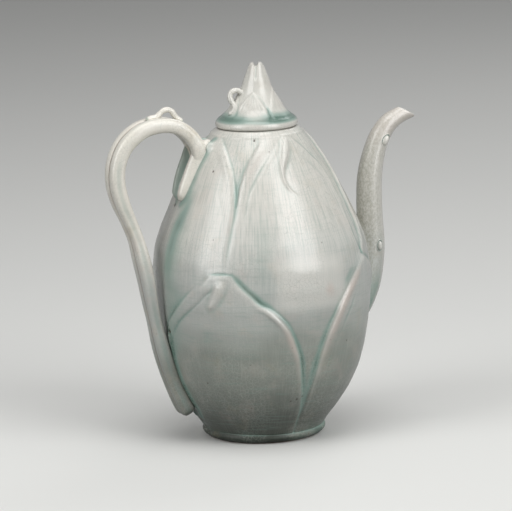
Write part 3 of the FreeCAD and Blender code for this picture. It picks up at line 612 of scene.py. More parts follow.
# %% Footprints of the spout, the handle and its root
SPOUT_FOOTPRINT = [(2.5, 55), (5.5, 58), (7.6, 66), (8.3, 76), (7.9, 86), (6.0, 95), (2.5, 99.5)]
HANDLE_FOOTPRINT = [(6.6, 68), (7.4, 56), (7.7, 44), (7.7, 32), (7.2, 22), (4.0, 15.0)]
ROOT_FOOTPRINT = [(5.2, 173), (7.0, 166), (7.4, 158), (7.3, 150), (6.8, 143), (3.0, 138)]
SPOUT_MIDDLE, HANDLE_MIDDLE = 0, 180
joint(SPOUT_MIDDLE, SPOUT_FOOTPRINT, rise=0.55, width=1.6, dark=0.45, dark_width=2.2)
joint(HANDLE_MIDDLE, HANDLE_FOOTPRINT, rise=0.5, width=1.4, dark=1.0, dark_width=2.6)
joint(HANDLE_MIDDLE, ROOT_FOOTPRINT, rise=0.5, width=1.6, dark=0.45, dark_width=2.6)
foot_pool = bump(heights - 6, 6) * (1 + 0.8 * np.sin(turns + 2.2))
pool_and_shade += 0.12 * foot_pool
print("deepest pool at the joints", round(float(pool_and_shade.max()), 2))

# %% [markdown]
# ## From grids to meshes
# Every piece of this ewer is a grid of rings: the wall, the lid and each roll of clay. One helper joins
# rings into a closed mesh, caps or joins the ends, smooths the shading and stores the glaze fields as
# attributes for the material to read.

# %% A mesh from rings
def placed(name, data):
    """An object made of its data and put in the scene."""
    thing = bpy.data.objects.new(name, data)
    bpy.context.scene.collection.objects.link(thing)
    return thing


def ringed_piece(name, rings, fields=None, close_ends=False, join_ends=False):
    """A mesh object from rings of places in millimetres, with one number per place for each field."""
    rings = np.asarray(rings, float)
    count, around = rings.shape[:2]
    corners = rings.reshape(-1, 3) * MM
    rows = count if join_ends else count - 1
    first = (np.arange(rows)[:, None] * around + np.arange(around)[None, :]).ravel()
    right = (np.arange(rows)[:, None] * around + (np.arange(around)[None, :] + 1) % around).ravel()
    above = (first + around) % (count * around)
    above_right = (right + around) % (count * around)
    faces = np.stack([first, right, above_right, above], 1).tolist()
    values = {key: np.asarray(value, float).ravel() for key, value in (fields or {}).items()}
    if close_ends:
        middles = np.array([rings[0].mean(0), rings[-1].mean(0)]) * MM
        low, high = len(corners), len(corners) + 1
        corners = np.vstack([corners, middles])
        last = (count - 1) * around
        for index in range(around):
            after = (index + 1) % around
            faces.append([low, after, index])
            faces.append([high, last + index, last + after])
        for key, value in values.items():
            grid = value.reshape(count, around)
            values[key] = np.concatenate([value, [grid[0].mean(), grid[-1].mean()]])
    mesh = bpy.data.meshes.new(name)
    mesh.from_pydata(corners.tolist(), [], faces)
    for key, value in values.items():
        mesh.attributes.new(key, "FLOAT", "POINT").data.foreach_set("value", value.astype(np.float32))
    builder = bmesh.new()
    builder.from_mesh(mesh)
    bmesh.ops.recalc_face_normals(builder, faces=builder.faces)
    builder.to_mesh(mesh)
    builder.free()
    mesh.polygons.foreach_set("use_smooth", [True] * len(mesh.polygons))
    return placed(name, mesh)


def with_hidden(field, rows, value=0.0):
    """A field of the outside, with one value on the rows after it, which are out of sight."""
    return np.vstack([field, np.full((rows, field.shape[1]), value)])


def angles_round(sides):
    """Even angles round a section."""
    return np.linspace(0, 2 * np.pi, sides, endpoint=False)


# %% [markdown]
# ## The wall as one skin
# Rings run up the carved outside, over the rounded rim, down the mouth's bore and along the inside to the
# floor, then back under the floor to the foot. The mouth is really open, and the wall is as thick as in the
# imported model.

# %% Rim, inside and floor: radius and height
WALL_TOP = 178.7
RIM_DROP = 0.35
CAVITY_POLES = [
    (20.2, 12.5), (30.8, 12.5), (47.0, 26.8), (53.8, 46.5), (55.4, 103.6), (48.2, 123.3), (29.1, 160.8),
    (18, 173.7),
]
RIM_LINE = [(22.7, 178.45), (22.2, 178.7), (19.0, 178.7), (18.35, 178.5), (18.0, 177.9), (18.0, 175.0)]
FLOOR_LINE = [(10.0, 12.5), (0.6, 12.5)]
UNDER_LINE = [(0.6, 6.2), (20.0, 6.2), (33.0, 6.1)]
CAVITY_STEPS = 90
ring_turns = np.radians(column_turn)


def plain_ring(radius, height, turns_round=ring_turns):
    """One plain ring round the axis."""
    level = np.full(len(turns_round), float(height))
    return np.stack([radius * np.cos(turns_round), radius * np.sin(turns_round), level], 1)


# %% One skin. The comb's marks show in the gaps, the rim holds some dirt, and the inside has a little glaze
COMB_BLUR = 1.5
RIM_DIRT = 0.5
INSIDE_POOL = 0.15
outside_radius = row_radius[:, None] + relief * row_normal[:, 0:1]
outside_height = np.minimum(row_height[:, None] + relief * row_normal[:, 1:2], WALL_TOP - RIM_DROP)
outside = np.stack([outside_radius * np.cos(turns), outside_radius * np.sin(turns), outside_height], 2)
cavity_line = drawn_curve(CAVITY_POLES, CAVITY_STEPS)[::-1]
hidden_line = np.vstack([RIM_LINE, cavity_line, FLOOR_LINE, UNDER_LINE])
hidden_rings = np.array([plain_ring(radius, height) for radius, height in hidden_line])
hidden = len(hidden_line)
rim_soil = with_hidden(soil, len(RIM_LINE), RIM_DIRT)
gap_comb = both_sides(np.maximum(step_up(left_gap, COMB_BLUR), step_up(right_gap, COMB_BLUR)))
ewer_wall = ringed_piece(
    "ewer_wall",
    sagged(np.concatenate([outside, hidden_rings])),
    {
        "pool_and_shade": with_hidden(pool_and_shade, hidden, INSIDE_POOL),
        "crest": with_hidden(crest, hidden),
        "warm": with_hidden(warm_clay, hidden),
        "soil": with_hidden(rim_soil, hidden - len(RIM_LINE)),
        "comb": with_hidden(gap_comb, hidden),
    },
    join_ends=True,
)
print("wall places", len(ewer_wall.data.vertices))

# %% [markdown]
# ## The pouring hole
# Wine reaches the spout through a hole in the wall behind it. A plain boolean cut makes it, with the solver
# that is quick on a closed mesh.

# %% Pierce the wall
POURING_HOLE_RADIUS = 5.5
POURING_HOLE_HEIGHT = 84.0
DRILL_OUT = 58.0
DRILL_LENGTH = 20.0
DRILL_SIDES = 48
drill_radius = POURING_HOLE_RADIUS * MM
drill_mesh = bpy.data.meshes.new("drill")
builder = bmesh.new()
bmesh.ops.create_cone(
    builder, cap_ends=True, segments=DRILL_SIDES, radius1=drill_radius, radius2=drill_radius,
    depth=DRILL_LENGTH * MM,
)
bmesh.ops.rotate(
    builder, verts=builder.verts, cent=(0, 0, 0), matrix=Matrix.Rotation(math.pi / 2, 3, "Y"),
)
bmesh.ops.translate(builder, verts=builder.verts, vec=(DRILL_OUT * MM, 0, POURING_HOLE_HEIGHT * MM))
builder.to_mesh(drill_mesh)
builder.free()
drill = placed("drill", drill_mesh)
piercing = ewer_wall.modifiers.new("pouring_hole", "BOOLEAN")
piercing.operation = "DIFFERENCE"
piercing.solver = "MANIFOLD"
piercing.object = drill
depsgraph = bpy.context.evaluated_depsgraph_get()
pierced = bpy.data.meshes.new_from_object(ewer_wall.evaluated_get(depsgraph))
ewer_wall.modifiers.clear()
ewer_wall.data = pierced
bpy.data.objects.remove(drill)
print("wall places after piercing", len(ewer_wall.data.vertices))

# %% [markdown]
# ## The foot ring
# A low ring turned in one piece with a rounded bead. Its wiped edge, where the ewer stands, is bare clay. It
# is a little oval and uneven, but nowhere wider than its outline.

# %% Foot ring
OVAL_SHARE = 0.0035
UNEVEN_SHARE = 0.002
FOOT_JOIN_HEIGHT = 6.2
WIPED_ENDS = (0.15, 0.8)
FOOT_LINE = [
    (34.2, 6.6), (34.9, 5.6), (35.6, 4.5), (35.7, 3.3), (35.2, 2.3), (34.0, 1.3), (32.4, 0.4),
    (31.2, 0.0), (27.4, 0.0), (26.8, 0.5), (26.5, 1.5), (26.5, 6.0), (30.0, 6.3),
]
foot_run = smooth_run(FOOT_LINE, 3)
foot_run[:, 1] = np.clip(foot_run[:, 1], 0, None)
foot_rings = np.array([plain_ring(radius, height) for radius, height in foot_run])
foot_wobble = 1 + OVAL_SHARE * np.sin(2 * ring_turns) + UNEVEN_SHARE * np.sin(5 * ring_turns + 1)
foot_rings[:, :, :2] *= (foot_wobble - (OVAL_SHARE + UNEVEN_SHARE))[None, :, None]
foot_heights = foot_rings[:, :, 2]
foot_piece = ringed_piece(
    "foot_ring_turned",
    sagged(foot_rings),
    {
        "pool_and_shade": 0.12 + 0.4 * bump(foot_heights - FOOT_JOIN_HEIGHT, 1.0)
        + 0.2 * np.sin(ring_turns + 2.0)[None, :],
        "bare": 1 - eased(foot_heights, *WIPED_ENDS),
    },
    join_ends=True,
)
print("foot ring places", len(foot_piece.data.vertices))

# %% [markdown]
# ## Rolls of clay
# The handle's two rolls, the cord loops and the spout are swept along a path. A Curve object with a bevel
# could do it, but the rolls are pressed together flat on one side and the spout is cut off at a slant. So a
# helper carries a frame along the path, and each piece shapes its own rings.

# %% A frame along a path
def path_frames(path):
    """Direction, outward and sideways vectors along a path of places in millimetres."""
    along = np.gradient(path, axis=0)
    along /= np.linalg.norm(along, axis=1)[:, None]
    outward = np.zeros_like(along)
    start = np.array([along[0, 2], 0.0, -along[0, 0]])
    for index, direction in enumerate(along):
        start = start - direction * np.dot(start, direction)
        start /= np.linalg.norm(start)
        outward[index] = start
    return along, outward, np.cross(along, outward)


def squared_off(value, power):
    """A sine or cosine pushed toward 1 and -1, which makes a round section squarer."""
    return np.sign(value) * np.abs(value) ** power


# %% Domed ends
DOME_STEPS = np.array([0.02, 0.1, 0.25, 0.5, 0.8, 1.2])
LEAST_SHARE = 0.03
FEWEST_STEPS = 12


def rounded_ends(runs, radius):
    """Shrinks a roll's radius to a dome at both ends; runs and radius in millimetres."""
    scale = np.ones_like(radius)
    for distance in (runs, runs[-1] - runs):
        inner = np.clip(distance / radius, 0, 1)
        scale *= np.sqrt(np.clip(1 - (1 - inner) ** 2, LEAST_SHARE**2, 1))
    return radius * scale


def evened(path, spacing):
    """The same path with even spacing, and finer steps near its two ends for their domes."""
    runs = path_length(path[:, :3])
    wanted = np.linspace(0, runs[-1], max(int(runs[-1] / spacing), FEWEST_STEPS))
    wanted = np.unique(np.concatenate([wanted, DOME_STEPS, runs[-1] - DOME_STEPS]))
    return np.stack([np.interp(wanted, runs, path[:, column]) for column in range(path.shape[1])], 1)


# %% [markdown]
# ## The handle
# Two rolls lie side by side and are pressed together, so each section is a circle cut flat where they meet,
# with a dark crease between. They spring from the shoulder, arch outward and back, run down close to the
# belly and end on the lower wall. A finger left a soft valley along the near roll and a fainter one along the
# far roll.

# %% The two rolls: out, up and radius
HANDLE_STATIONS = [
    (-40.2, 156.5, 2.0), (-38.6, 160.5, 3.4), (-37.6, 165.0, 4.0), (-38.2, 169.6, 4.2),
    (-40.4, 174.2, 4.2), (-44.0, 178.5, 4.2), (-49.0, 182.0, 4.2), (-55, 183.9, 4.25),
    (-62, 184.2, 4.3), (-69.1, 182.9, 4.3), (-76.3, 179.0, 4.35), (-82.7, 172.3, 4.35),
    (-86.5, 163.1, 4.35), (-87.1, 153, 4.3), (-84.7, 142.5, 4.1), (-80.2, 131, 3.7),
    (-76.3, 120.5, 3.65), (-73.3, 108, 3.95), (-70.9, 96, 3.85), (-69.1, 84, 3.6), (-66.4, 69.5, 3.4),
    (-64.6, 61, 3.7), (-62.2, 51.5, 3.95), (-59.3, 41.5, 4.0), (-55.6, 31.5, 4.1), (-52.3, 24.0, 4.2),
    (-48.4, 15.9, 4.1),
]
PRESS_SHARE = 0.85
PRESS_ASIDE = 0.2
ROLL_SQUARE = 0.72
SIDE_SHARE = 0.9
ROLL_SIDES = 72
ROLL_SPACING = 0.8
VALLEY_TURN, VALLEY_WIDTH, VALLEY_POOL_WIDTH = 86.0, 18, 22
VALLEY_STARTS = (62, 84)
VALLEY_DEPTH_SHARE = 0.09
RIDGE_TURN, RIDGE_WIDTH = 122.0, 17
SQUEEZE_SHARE, SQUEEZE_RUN = 0.02, 7


def handle_roll(name, side, valley):
    """One roll of the handle, on its side of the plane where the two meet."""
    dense = smooth_run(HANDLE_STATIONS, 10)
    path = evened(np.stack([dense[:, 0], np.zeros(len(dense)), dense[:, 1], dense[:, 2]], 1), ROLL_SPACING)
    centre = path[:, :3]
    _, outward, _ = path_frames(centre)
    runs = path_length(centre)
    size = rounded_ends(runs, path[:, 3])[:, None]
    angle = angles_round(ROLL_SIDES)
    degrees = np.degrees(angle)
    valley = valley * eased(runs, *VALLEY_STARTS)[:, None]
    dent = 1 - VALLEY_DEPTH_SHARE * valley * bump(turned_from(degrees, VALLEY_TURN), VALLEY_WIDTH)
    dent = dent + SQUEEZE_SHARE * np.sin(runs / SQUEEZE_RUN)[:, None]
    across = size * dent * squared_off(np.cos(angle), ROLL_SQUARE)
    sideways = PRESS_SHARE * size + SIDE_SHARE * size * dent * squared_off(np.sin(angle), ROLL_SQUARE)
    press_plane = side * PRESS_ASIDE * size
    rings = centre[:, None, :] + outward[:, None, :] * across[:, :, None]
    rings[:, :, 1] = side * np.maximum(sideways, press_plane)
    sideways = sideways - press_plane
    crease = 1 - eased(sideways, 0.04 * size, 0.25 * size)
    outer = eased(across, 0, 0.3 * size)
    ridge = bump(turned_from(degrees, RIDGE_TURN), RIDGE_WIDTH)[None, :] * valley
    valley_pool = valley * bump(turned_from(degrees, VALLEY_TURN), VALLEY_POOL_WIDTH)
    fields = {
        "pool_and_shade": 0.12 * crease + 0.3 * valley_pool,
        "soil": 0.3 * (1 - eased(sideways, 0.02 * size, 0.1 * size)) * outer,
        "warm": 0.45 * ridge + 0.5 * crease * outer + 0.25 * bump(turned_from(degrees, 40), 20),
        "crest": 0.6 * ridge + 0.25 * bump(turned_from(degrees, 30), 25),
        "olive_and_shade": np.full_like(across, 0.12),
    }
    print(name, "run", round(runs[-1], 1), "mm")
    return ringed_piece(name, rings, fields, close_ends=True)


near_roll = handle_roll("handle_roll_near_laid", side=-1, valley=1.0)
far_roll = handle_roll("handle_roll_far_laid", side=1, valley=0.4)

# %% [markdown]
# ## The handle's root
# Below the arch the strap's end is folded down onto the shoulder: a tongue with a raised edge on each side,
# higher on the far one, and a deep hollow between, thinning to a rounded end.

# %% Root strap: height, half width, and how far the near and the far edge stand off
ROOT_STATIONS = [
    (172.5, 4.4, 2.6, 3.0), (170.3, 6.2, 6.0, 7.0), (166.5, 7.0, 8.2, 10.8), (159.5, 7.0, 7.5, 9.8),
    (152, 7.0, 6.7, 8.6), (145.5, 6.8, 5.9, 7.0), (142, 6.0, 4.9, 5.8), (139.8, 4.2, 2.8, 3.2),
]
ROOT_SIDES = 96
ROOT_SINK = 0.4
UNDERSIDE = 2.0
HOLLOW_DEPTH_SHARE = 0.5
NEAR_RIDGE, FAR_RIDGE, HOLLOW_PLACE = -0.46, 0.52, 0.04


def root_strap():
    """The folded tongue: its width and its two edges follow the stations down the shoulder."""
    dense = smooth_run(ROOT_STATIONS, 8)
    centre = np.stack([-wall_radius_at(dense[:, 0]) - ROOT_SINK, np.zeros(len(dense)), dense[:, 0]], 1)
    along, _, _ = path_frames(centre)
    normal = np.stack([-np.abs(along[:, 2]), np.zeros(len(dense)), np.abs(along[:, 0])], 1)
    angle = angles_round(ROOT_SIDES)
    share = squared_off(np.cos(angle), 0.8)[None, :]
    half, near_lift, far_lift = dense[:, 1:2], dense[:, 2:3], dense[:, 3:4]
    edge_lift = near_lift + (far_lift - near_lift) * eased(share, NEAR_RIDGE, FAR_RIDGE)
    dip = 1 - HOLLOW_DEPTH_SHARE * bump(share - HOLLOW_PLACE, 0.3)
    dome = squared_off(np.sin(angle), np.where(np.cos(angle) > 0, 0.55, 1.0))
    lift = np.where(dome > 0, dome * edge_lift * dip, dome * UNDERSIDE)
    rings = centre[:, None, :] + normal[:, None, :] * lift[:, :, None]
    rings[:, :, 1] += share * half
    top = eased(lift, 0.25 * edge_lift, 0.6 * edge_lift)
    near_ridge, far_ridge = top * bump(share - NEAR_RIDGE, 0.2), top * bump(share - FAR_RIDGE, 0.2)
    # Painted shade: far edge and hollow, where glaze also pools. Near edge: thin glaze and a painted highlight
    hollow_pool_and_far_shade = 0.62 * bump(share - HOLLOW_PLACE, 0.36) + 0.34 * bump(share - FAR_RIDGE, 0.25)
    fields = {
        "pool_and_shade": top * hollow_pool_and_far_shade + 0.8 * bump(lift, 1.2),
        "crest": 1.1 * near_ridge + 0.1 * far_ridge,
        "warm": 0.55 * near_ridge + 0.1 * far_ridge,
    }
    return ringed_piece("handle_root_strap", rings, fields, close_ends=True)


root_piece = root_strap()
print("root places", len(root_piece.data.vertices))

# %% [markdown]
# ## Cord loops
# A thin roll bows up from the handle, and another curls on the lid. A cord through both kept the lid. Each
# lies down at its ends, so the ends are drawn a little flattened.

# %% Thin rolls
HANDLE_LOOP_PATH = [
    (-67.4, 0, 188.0), (-64, 0, 188.7), (-60.9, 0, 189.0), (-59.2, 0, 190.4), (-57.2, 0, 191.9),
    (-54.3, 0, 192.5), (-51.7, 0, 191.3), (-50.4, 0, 189.3), (-49.0, 0, 187.6), (-45.2, 0, 185.0),
]
LID_LOOP_PATH = [
    (-8.4, -1.5, 196.8), (-9.9, -1.0, 199.0), (-12.4, 0, 199.9), (-15.1, 0, 199.0),
    (-16.2, -0.2, 196.8), (-15.7, -1.0, 194), (-14.5, -2.2, 191.9), (-14.3, -3.2, 190.2),
    (-15.6, -3.4, 188.4), (-18.2, -2.2, 186.4),
]
THIN_ROLL_RADIUS = 1.58
THIN_ROLL_SIDES = 28
THIN_ROLL_SPACING = 0.35
PRESSED_SHARE = 0.22
DARK_END_SHARE = 0.12


def thin_roll(name, places, start_flat, end_flat):
    """A loop of clay rolled between the fingers, thicker and flatter where it is pressed on."""
    path = evened(smooth_run(places, 10), THIN_ROLL_SPACING)
    _, outward, sideways = path_frames(path)
    runs = path_length(path)
    share = runs / runs[-1]
    radius = rounded_ends(runs, THIN_ROLL_RADIUS * (1 + 0.05 * np.sin(runs * 1.1)))
    pressed_start, pressed_end = 1 - eased(share, 0, PRESSED_SHARE), eased(share, 1 - PRESSED_SHARE, 1)
    spread = 1 + start_flat * pressed_start + end_flat * pressed_end
    angle = angles_round(THIN_ROLL_SIDES)
    rings = (
        path[:, None, :]
        + outward[:, None, :] * (radius / spread)[:, None, None] * np.cos(angle)[None, :, None]
        + sideways[:, None, :] * (radius * spread)[:, None, None] * np.sin(angle)[None, :, None]
    )
    ends = 1 - eased(np.minimum(share, 1 - share), 0.0, DARK_END_SHARE)
    pools = np.repeat((0.35 * ends)[:, None], THIN_ROLL_SIDES, 1)
    return ringed_piece(name, rings, {"pool_and_shade": pools, "crest": 0.35 - pools}, close_ends=True)


handle_loop = thin_roll("handle_loop_laid", HANDLE_LOOP_PATH, start_flat=0.25, end_flat=0.2)
lid_loop = thin_roll("lid_loop_laid", LID_LOOP_PATH, start_flat=0.1, end_flat=0.2)
print("loop places", len(handle_loop.data.vertices), "and", len(lid_loop.data.vertices))

# %% [markdown]
# ## The spout
# The spout is a hollow tube drawn out like a young shoot: it leaves the belly, climbs beside it and bends
# outward to a slanting lip. Each line along the tube runs from the wall to the lip's plane, so both ends
# fit without a boolean cut. Its wall thins toward the lip, and the rim is rounded.

# %% Spout path and its two ends: out, up and radius
SPOUT_STATIONS = [
    (50, 53, 5.6), (54, 60, 7.0), (60, 70, 8.2), (64.7, 81, 8.5), (67.4, 93, 8.35), (68.7, 106, 8.0),
    (68.4, 118, 7.6), (68.4, 130, 7.5), (69.1, 143, 7.2), (72.0, 156, 6.5), (76.2, 166.0, 6.0),
    (81.5, 172.8, 5.5), (88.7, 177.0, 4.75), (96.0, 179.1, 4.25), (101, 179.9, 4.0),
]
LIP_PLACE = np.array([89.5, 0, 181.3])
LIP_TILT = math.radians(29)
LIP_FACING = np.array([math.sin(LIP_TILT), 0, math.cos(LIP_TILT)])
LIP_ROUND = 0.55
TIP_REACH = 97.4
SPOUT_SINK = 0.3
SPOUT_ROOT_TOP = 120
SPOUT_WALL_SHARE = 0.30
SPOUT_SIDES = 96
SPOUT_ROWS = 260
spout_path = smooth_run(SPOUT_STATIONS, 24)
spout_centre = np.stack([spout_path[:, 0], np.zeros(len(spout_path)), spout_path[:, 1]], 1)
_, spout_outward, spout_sideways = path_frames(spout_centre)
spout_angle = angles_round(SPOUT_SIDES)
print("spout run", round(path_length(spout_centre)[-1], 1), "mm")


# %% Lines along the tube, cut off at the wall and at the lip
def spout_lines(radius):
    """Places on the tube at a radius: one column of places for each side."""
    spin = np.cos(spout_angle)[None, :, None] * spout_outward[:, None, :]
    spin = spin + np.sin(spout_angle)[None, :, None] * spout_sideways[:, None, :]
    return spout_centre[:, None, :] + radius[:, None, None] * spin


def between_wall_and_lip(lines):
    """The same number of places on each line, from just inside the wall to the lip's plane."""
    rings = np.zeros((SPOUT_ROWS, SPOUT_SIDES, 3))
    steps = np.arange(len(lines))
    for column in range(SPOUT_SIDES):
        line = lines[:, column]
        off_wall = np.hypot(line[:, 0], line[:, 1]) - wall_radius_at(line[:, 2]) - SPOUT_SINK
        past_lip = np.maximum((line - LIP_PLACE) @ LIP_FACING, line[:, 0] - TIP_REACH) + LIP_ROUND
        inside = np.nonzero((off_wall < 0) & (line[:, 2] < SPOUT_ROOT_TOP))[0]
        start = inside[-1] if len(inside) else 0
        if start + 1 < len(line) and len(inside):
            start = start + off_wall[start] / (off_wall[start] - off_wall[start + 1])
        over = np.nonzero(past_lip > 0)[0][0]
        end = over - past_lip[over] / (past_lip[over] - past_lip[over - 1])
        wanted = np.linspace(start, end, SPOUT_ROWS)
        rings[:, column] = np.stack([np.interp(wanted, steps, line[:, axis]) for axis in range(3)], 1)
    return rings


# %% Tube, rim and bore as one skin, with painted shade on one side and a painted highlight on the other.
# The side toward the body is shaded by it and painted in an olive tone, partly a real olive mottle, and the
# side away from it is painted paler.
SHADED_TURN = 35
LIT_SHARES = (0.38, 0.6)
ROOT_POOL_ENDS = (62, 104)
WARM_STARTS = (150, 172)
RIM_STEPS = 9
spout_wall = spout_path[:, 2] * SPOUT_WALL_SHARE
outer = between_wall_and_lip(spout_lines(spout_path[:, 2]))
bore = between_wall_and_lip(spout_lines(spout_path[:, 2] - spout_wall))
middle, half = (outer[-1] + bore[-1]) / 2, (outer[-1] - bore[-1]) / 2
rim_turns = np.linspace(0, math.pi, RIM_STEPS)[1:-1]
rim_bulge = LIP_FACING * LIP_ROUND
rim = np.array([middle + half * math.cos(turn) + rim_bulge * math.sin(turn) for turn in rim_turns])
row_share = np.linspace(0, 1, SPOUT_ROWS)[:, None]
facing_body = 0.5 - 0.5 * np.cos(spout_angle - math.radians(SHADED_TURN))[None, :]
lit_side = 1 - eased(facing_body, *LIT_SHARES)
root_pool = (1 - eased(outer[:, :, 2], *ROOT_POOL_ENDS)) * (1 - row_share) ** 0.5
spout_pool = 0.5 * root_pool + 0.9 * bump(row_share, 0.03)
hidden = len(rim) + SPOUT_ROWS
spout_piece = ringed_piece(
    "spout_tube",
    np.concatenate([outer, rim, bore[::-1]]),
    {
        "pool_and_shade": with_hidden(spout_pool, hidden),
        # Painted highlight: the lit side, away from the body, is painted paler through the crest field
        "crest": with_hidden(0.9 * bump(1 - row_share, 0.02) + 0.75 * lit_side, hidden),
        # Painted shade: the side facing the body gets the olive tone, partly a real olive mottle
        "olive_and_shade": with_hidden((0.1 + 0.9 * facing_body**1.5) * (1 - 0.5 * row_share), hidden),
        "warm": with_hidden(0.5 * eased(outer[:, :, 2], *WARM_STARTS), hidden),
    },
    join_ends=True,
)
print("spout places", len(spout_piece.data.vertices))

# %% [markdown]
# ## Buds on the spout
# Two small oval pellets sit on the near side of the spout, each inside an incised ring, like buds on a
# shoot. The pellet swells out of the ring, and the ring is filled with dark glaze.

# %% Buds: out, up, how far it faces outward, half length and half width of the pellet
BUD_PLACES = {"high": (75.6, 164.6, 0.33, 3.1, 2.05), "low": (68.4, 103.4, 0.28, 2.8, 1.6)}
BUD_PROFILE = [
    (1.46, -1.2), (1.40, 0.05), (1.34, 0.34), (1.24, 0.34), (1.14, 0.12), (1.06, 0.06), (1.0, 0.2),
    (0.92, 0.62), (0.78, 1.02), (0.55, 1.34), (0.3, 1.5), (0.08, 1.54),
]
BUD_SIDES = 48
RING_SHARE = 1.09
RING_WIDTH_SHARE = 0.12
PELLET_SHARE = 0.85


def spout_bud(name, out, up, across_share, half_length, half_width):
    """An oval pellet inside a ring, tangent to the tube at a place along it."""
    index = int(np.argmin(np.hypot(spout_path[:, 0] - out, spout_path[:, 1] - up)))
    centre, radius = spout_centre[index], spout_path[index, 2]
    along = spout_centre[index + 1] - spout_centre[index - 1]
    along /= np.linalg.norm(along)
    facing = spout_outward[index] * across_share - np.array([0, 1, 0]) * math.sqrt(1 - across_share**2)
    across = np.cross(facing, along)
    angle = angles_round(BUD_SIDES)
    rings, pools, soils, crests = [], [], [], []
    for share, lift in smooth_run(BUD_PROFILE, 4):
        side = half_width * share * np.sin(angle)
        bend = radius - np.sqrt(np.clip(radius**2 - side**2, 0, None))
        forward = half_length * share * np.cos(angle)
        ring = centre[None, :] + facing[None, :] * (radius + lift - bend)[:, None]
        rings.append(ring + along[None, :] * forward[:, None] + across[None, :] * side[:, None])
        in_ring = float(bump(share - RING_SHARE, RING_WIDTH_SHARE))
        pools.append(np.full(BUD_SIDES, 0.6 * in_ring))
        soils.append(np.full(BUD_SIDES, 0.42 * in_ring))
        crests.append(np.full(BUD_SIDES, 0.8 * (share < PELLET_SHARE)))
    fields = {"pool_and_shade": np.array(pools), "soil": np.array(soils), "crest": np.array(crests)}
    return ringed_piece(name, np.array(rings), fields, close_ends=True)


bud_high = spout_bud("spout_bud_high_laid", *BUD_PLACES["high"])
bud_low = spout_bud("spout_bud_low_laid", *BUD_PLACES["low"])
print("bud places", len(bud_high.data.vertices), "and", len(bud_low.data.vertices))

# %% [markdown]
# ## The lid
# The lid is the tip of the shoot: a hollow cone that flares to its rim, wrapped in four small sheaths, with
# its tip split in two. It is built as the wall is, on a grid with its own carved lines. The split comes
# from lowering the top along the line between the two tips.

# %% The lid's outline
LID_LINE = [
    (22.6, 178.85), (23.3, 179.5), (23.55, 180.8), (22.7, 182.8), (19.8, 185.0), (17.2, 187.3),
    (15.6, 189.2), (14.1, 191.9), (11.9, 195.3), (9.8, 198.8), (8.3, 202.2), (7.2, 205.7), (6.0, 209.1),
    (4.9, 212.3), (4.1, 214.2), (3.2, 214.9), (1.6, 215.0), (0.25, 215.0),
]
LID_SIDES = 288
lid_run = smooth_run(LID_LINE, 10)
lid_turn = np.linspace(-180, 180, LID_SIDES, endpoint=False)
lid_round = np.radians(lid_turn)


def from_lid_turn(turn):
    """Degrees from a direction, for each column of the lid's grid."""
    return turned_from(lid_turn, turn)


lid_radius = np.repeat(lid_run[:, 0][:, None], LID_SIDES, 1)
lid_height = np.repeat(lid_run[:, 1][:, None], LID_SIDES, 1)
lid_relief, lid_pool, lid_crest = (np.zeros_like(lid_radius) for _ in range(3))

# %% Its small sheaths: middle in degrees, top, half width at the foot; the later ones overlap the earlier
LID_LEAVES = [(-124, 199.0, 12.4), (56, 199.0, 12.4), (-30, 201.0, 17.9), (150, 201.0, 17.9)]
LID_LEAF_FOOT = 186.0
LEAF_TAPER = 0.78
LEAF_SLANT = 0.72
LEAF_RISE = 0.36
LEAF_STARTS = (182.5, 186)
LEAF_EDGE_STARTS = (184.5, 187)
LEAF_RIB_STARTS = (187, 191)
LEAF_ROLL, LEAF_CUT = 0.14, 0.22
LEAF_RIB_DEPTH, LEAF_RIB_POOL = 0.15, 0.17
LEAF_RIB_SHARES = (-0.62, -0.36, -0.1, 0.14, 0.38, 0.6)
for centre, apex, half_width in LID_LEAVES:
    across = np.radians(from_lid_turn(centre))[None, :] * np.maximum(lid_radius, 1)
    share = np.clip((apex - lid_height) / (apex - LID_LEAF_FOOT), 0, 1) ** LEAF_TAPER
    signed = (half_width * share - np.abs(across)) * LEAF_SLANT
    cover = step_up(signed, 0.8) * eased(lid_height, *LEAF_STARTS)
    lid_relief = np.maximum(lid_relief, LEAF_RISE * cover)
    edge = eased(lid_height, *LEAF_EDGE_STARTS) * (1 - eased(lid_height, apex - 2, apex + 1))
    lid_relief += edge * (LEAF_ROLL * bump(signed - 1.4, 1.0) - LEAF_CUT * bump(signed, 0.7))
    uneven = (0.5 + 0.5 * np.sin(lid_round * 2 + apex))[None, :]
    lid_pool += edge * 0.34 * bump(signed + 0.3, 0.8) * uneven
    lid_crest += edge * 0.35 * bump(signed - 1.5, 1.0)
    ribbed = edge * eased(signed, 0.4, 2.0) * eased(lid_height, *LEAF_RIB_STARTS)
    for rib_share in LEAF_RIB_SHARES:
        line = across - rib_share * half_width * share
        lid_relief -= ribbed * LEAF_RIB_DEPTH * bump(line, 0.45)
        lid_pool += ribbed * LEAF_RIB_POOL * bump(line, 0.6)
print("lid relief", round(float(lid_relief.max()), 2), "mm")

# %% Grooves of the upper shoot: degrees round, low end and depth
UPPER_GROOVES = [
    (-62, 199.0, 0.16), (-162, 199.0, 0.16), (118, 199.0, 0.16), (18, 199.0, 0.16), (68, 205.0, 0.4),
]
GROOVE_STARTS_OVER = 8
GROOVE_ENDS = (213.5, 215.2)
for groove_turn, low_end, depth in UPPER_GROOVES:
    across = np.radians(from_lid_turn(groove_turn))[None, :] * lid_radius
    length = eased(lid_height, low_end, low_end + GROOVE_STARTS_OVER) * (1 - eased(lid_height, *GROOVE_ENDS))
    lid_relief -= length * depth * bump(across, 0.8)
    lid_pool += 0.6 * length * depth * bump(across, 0.8)
print("upper grooves", len(UPPER_GROOVES))

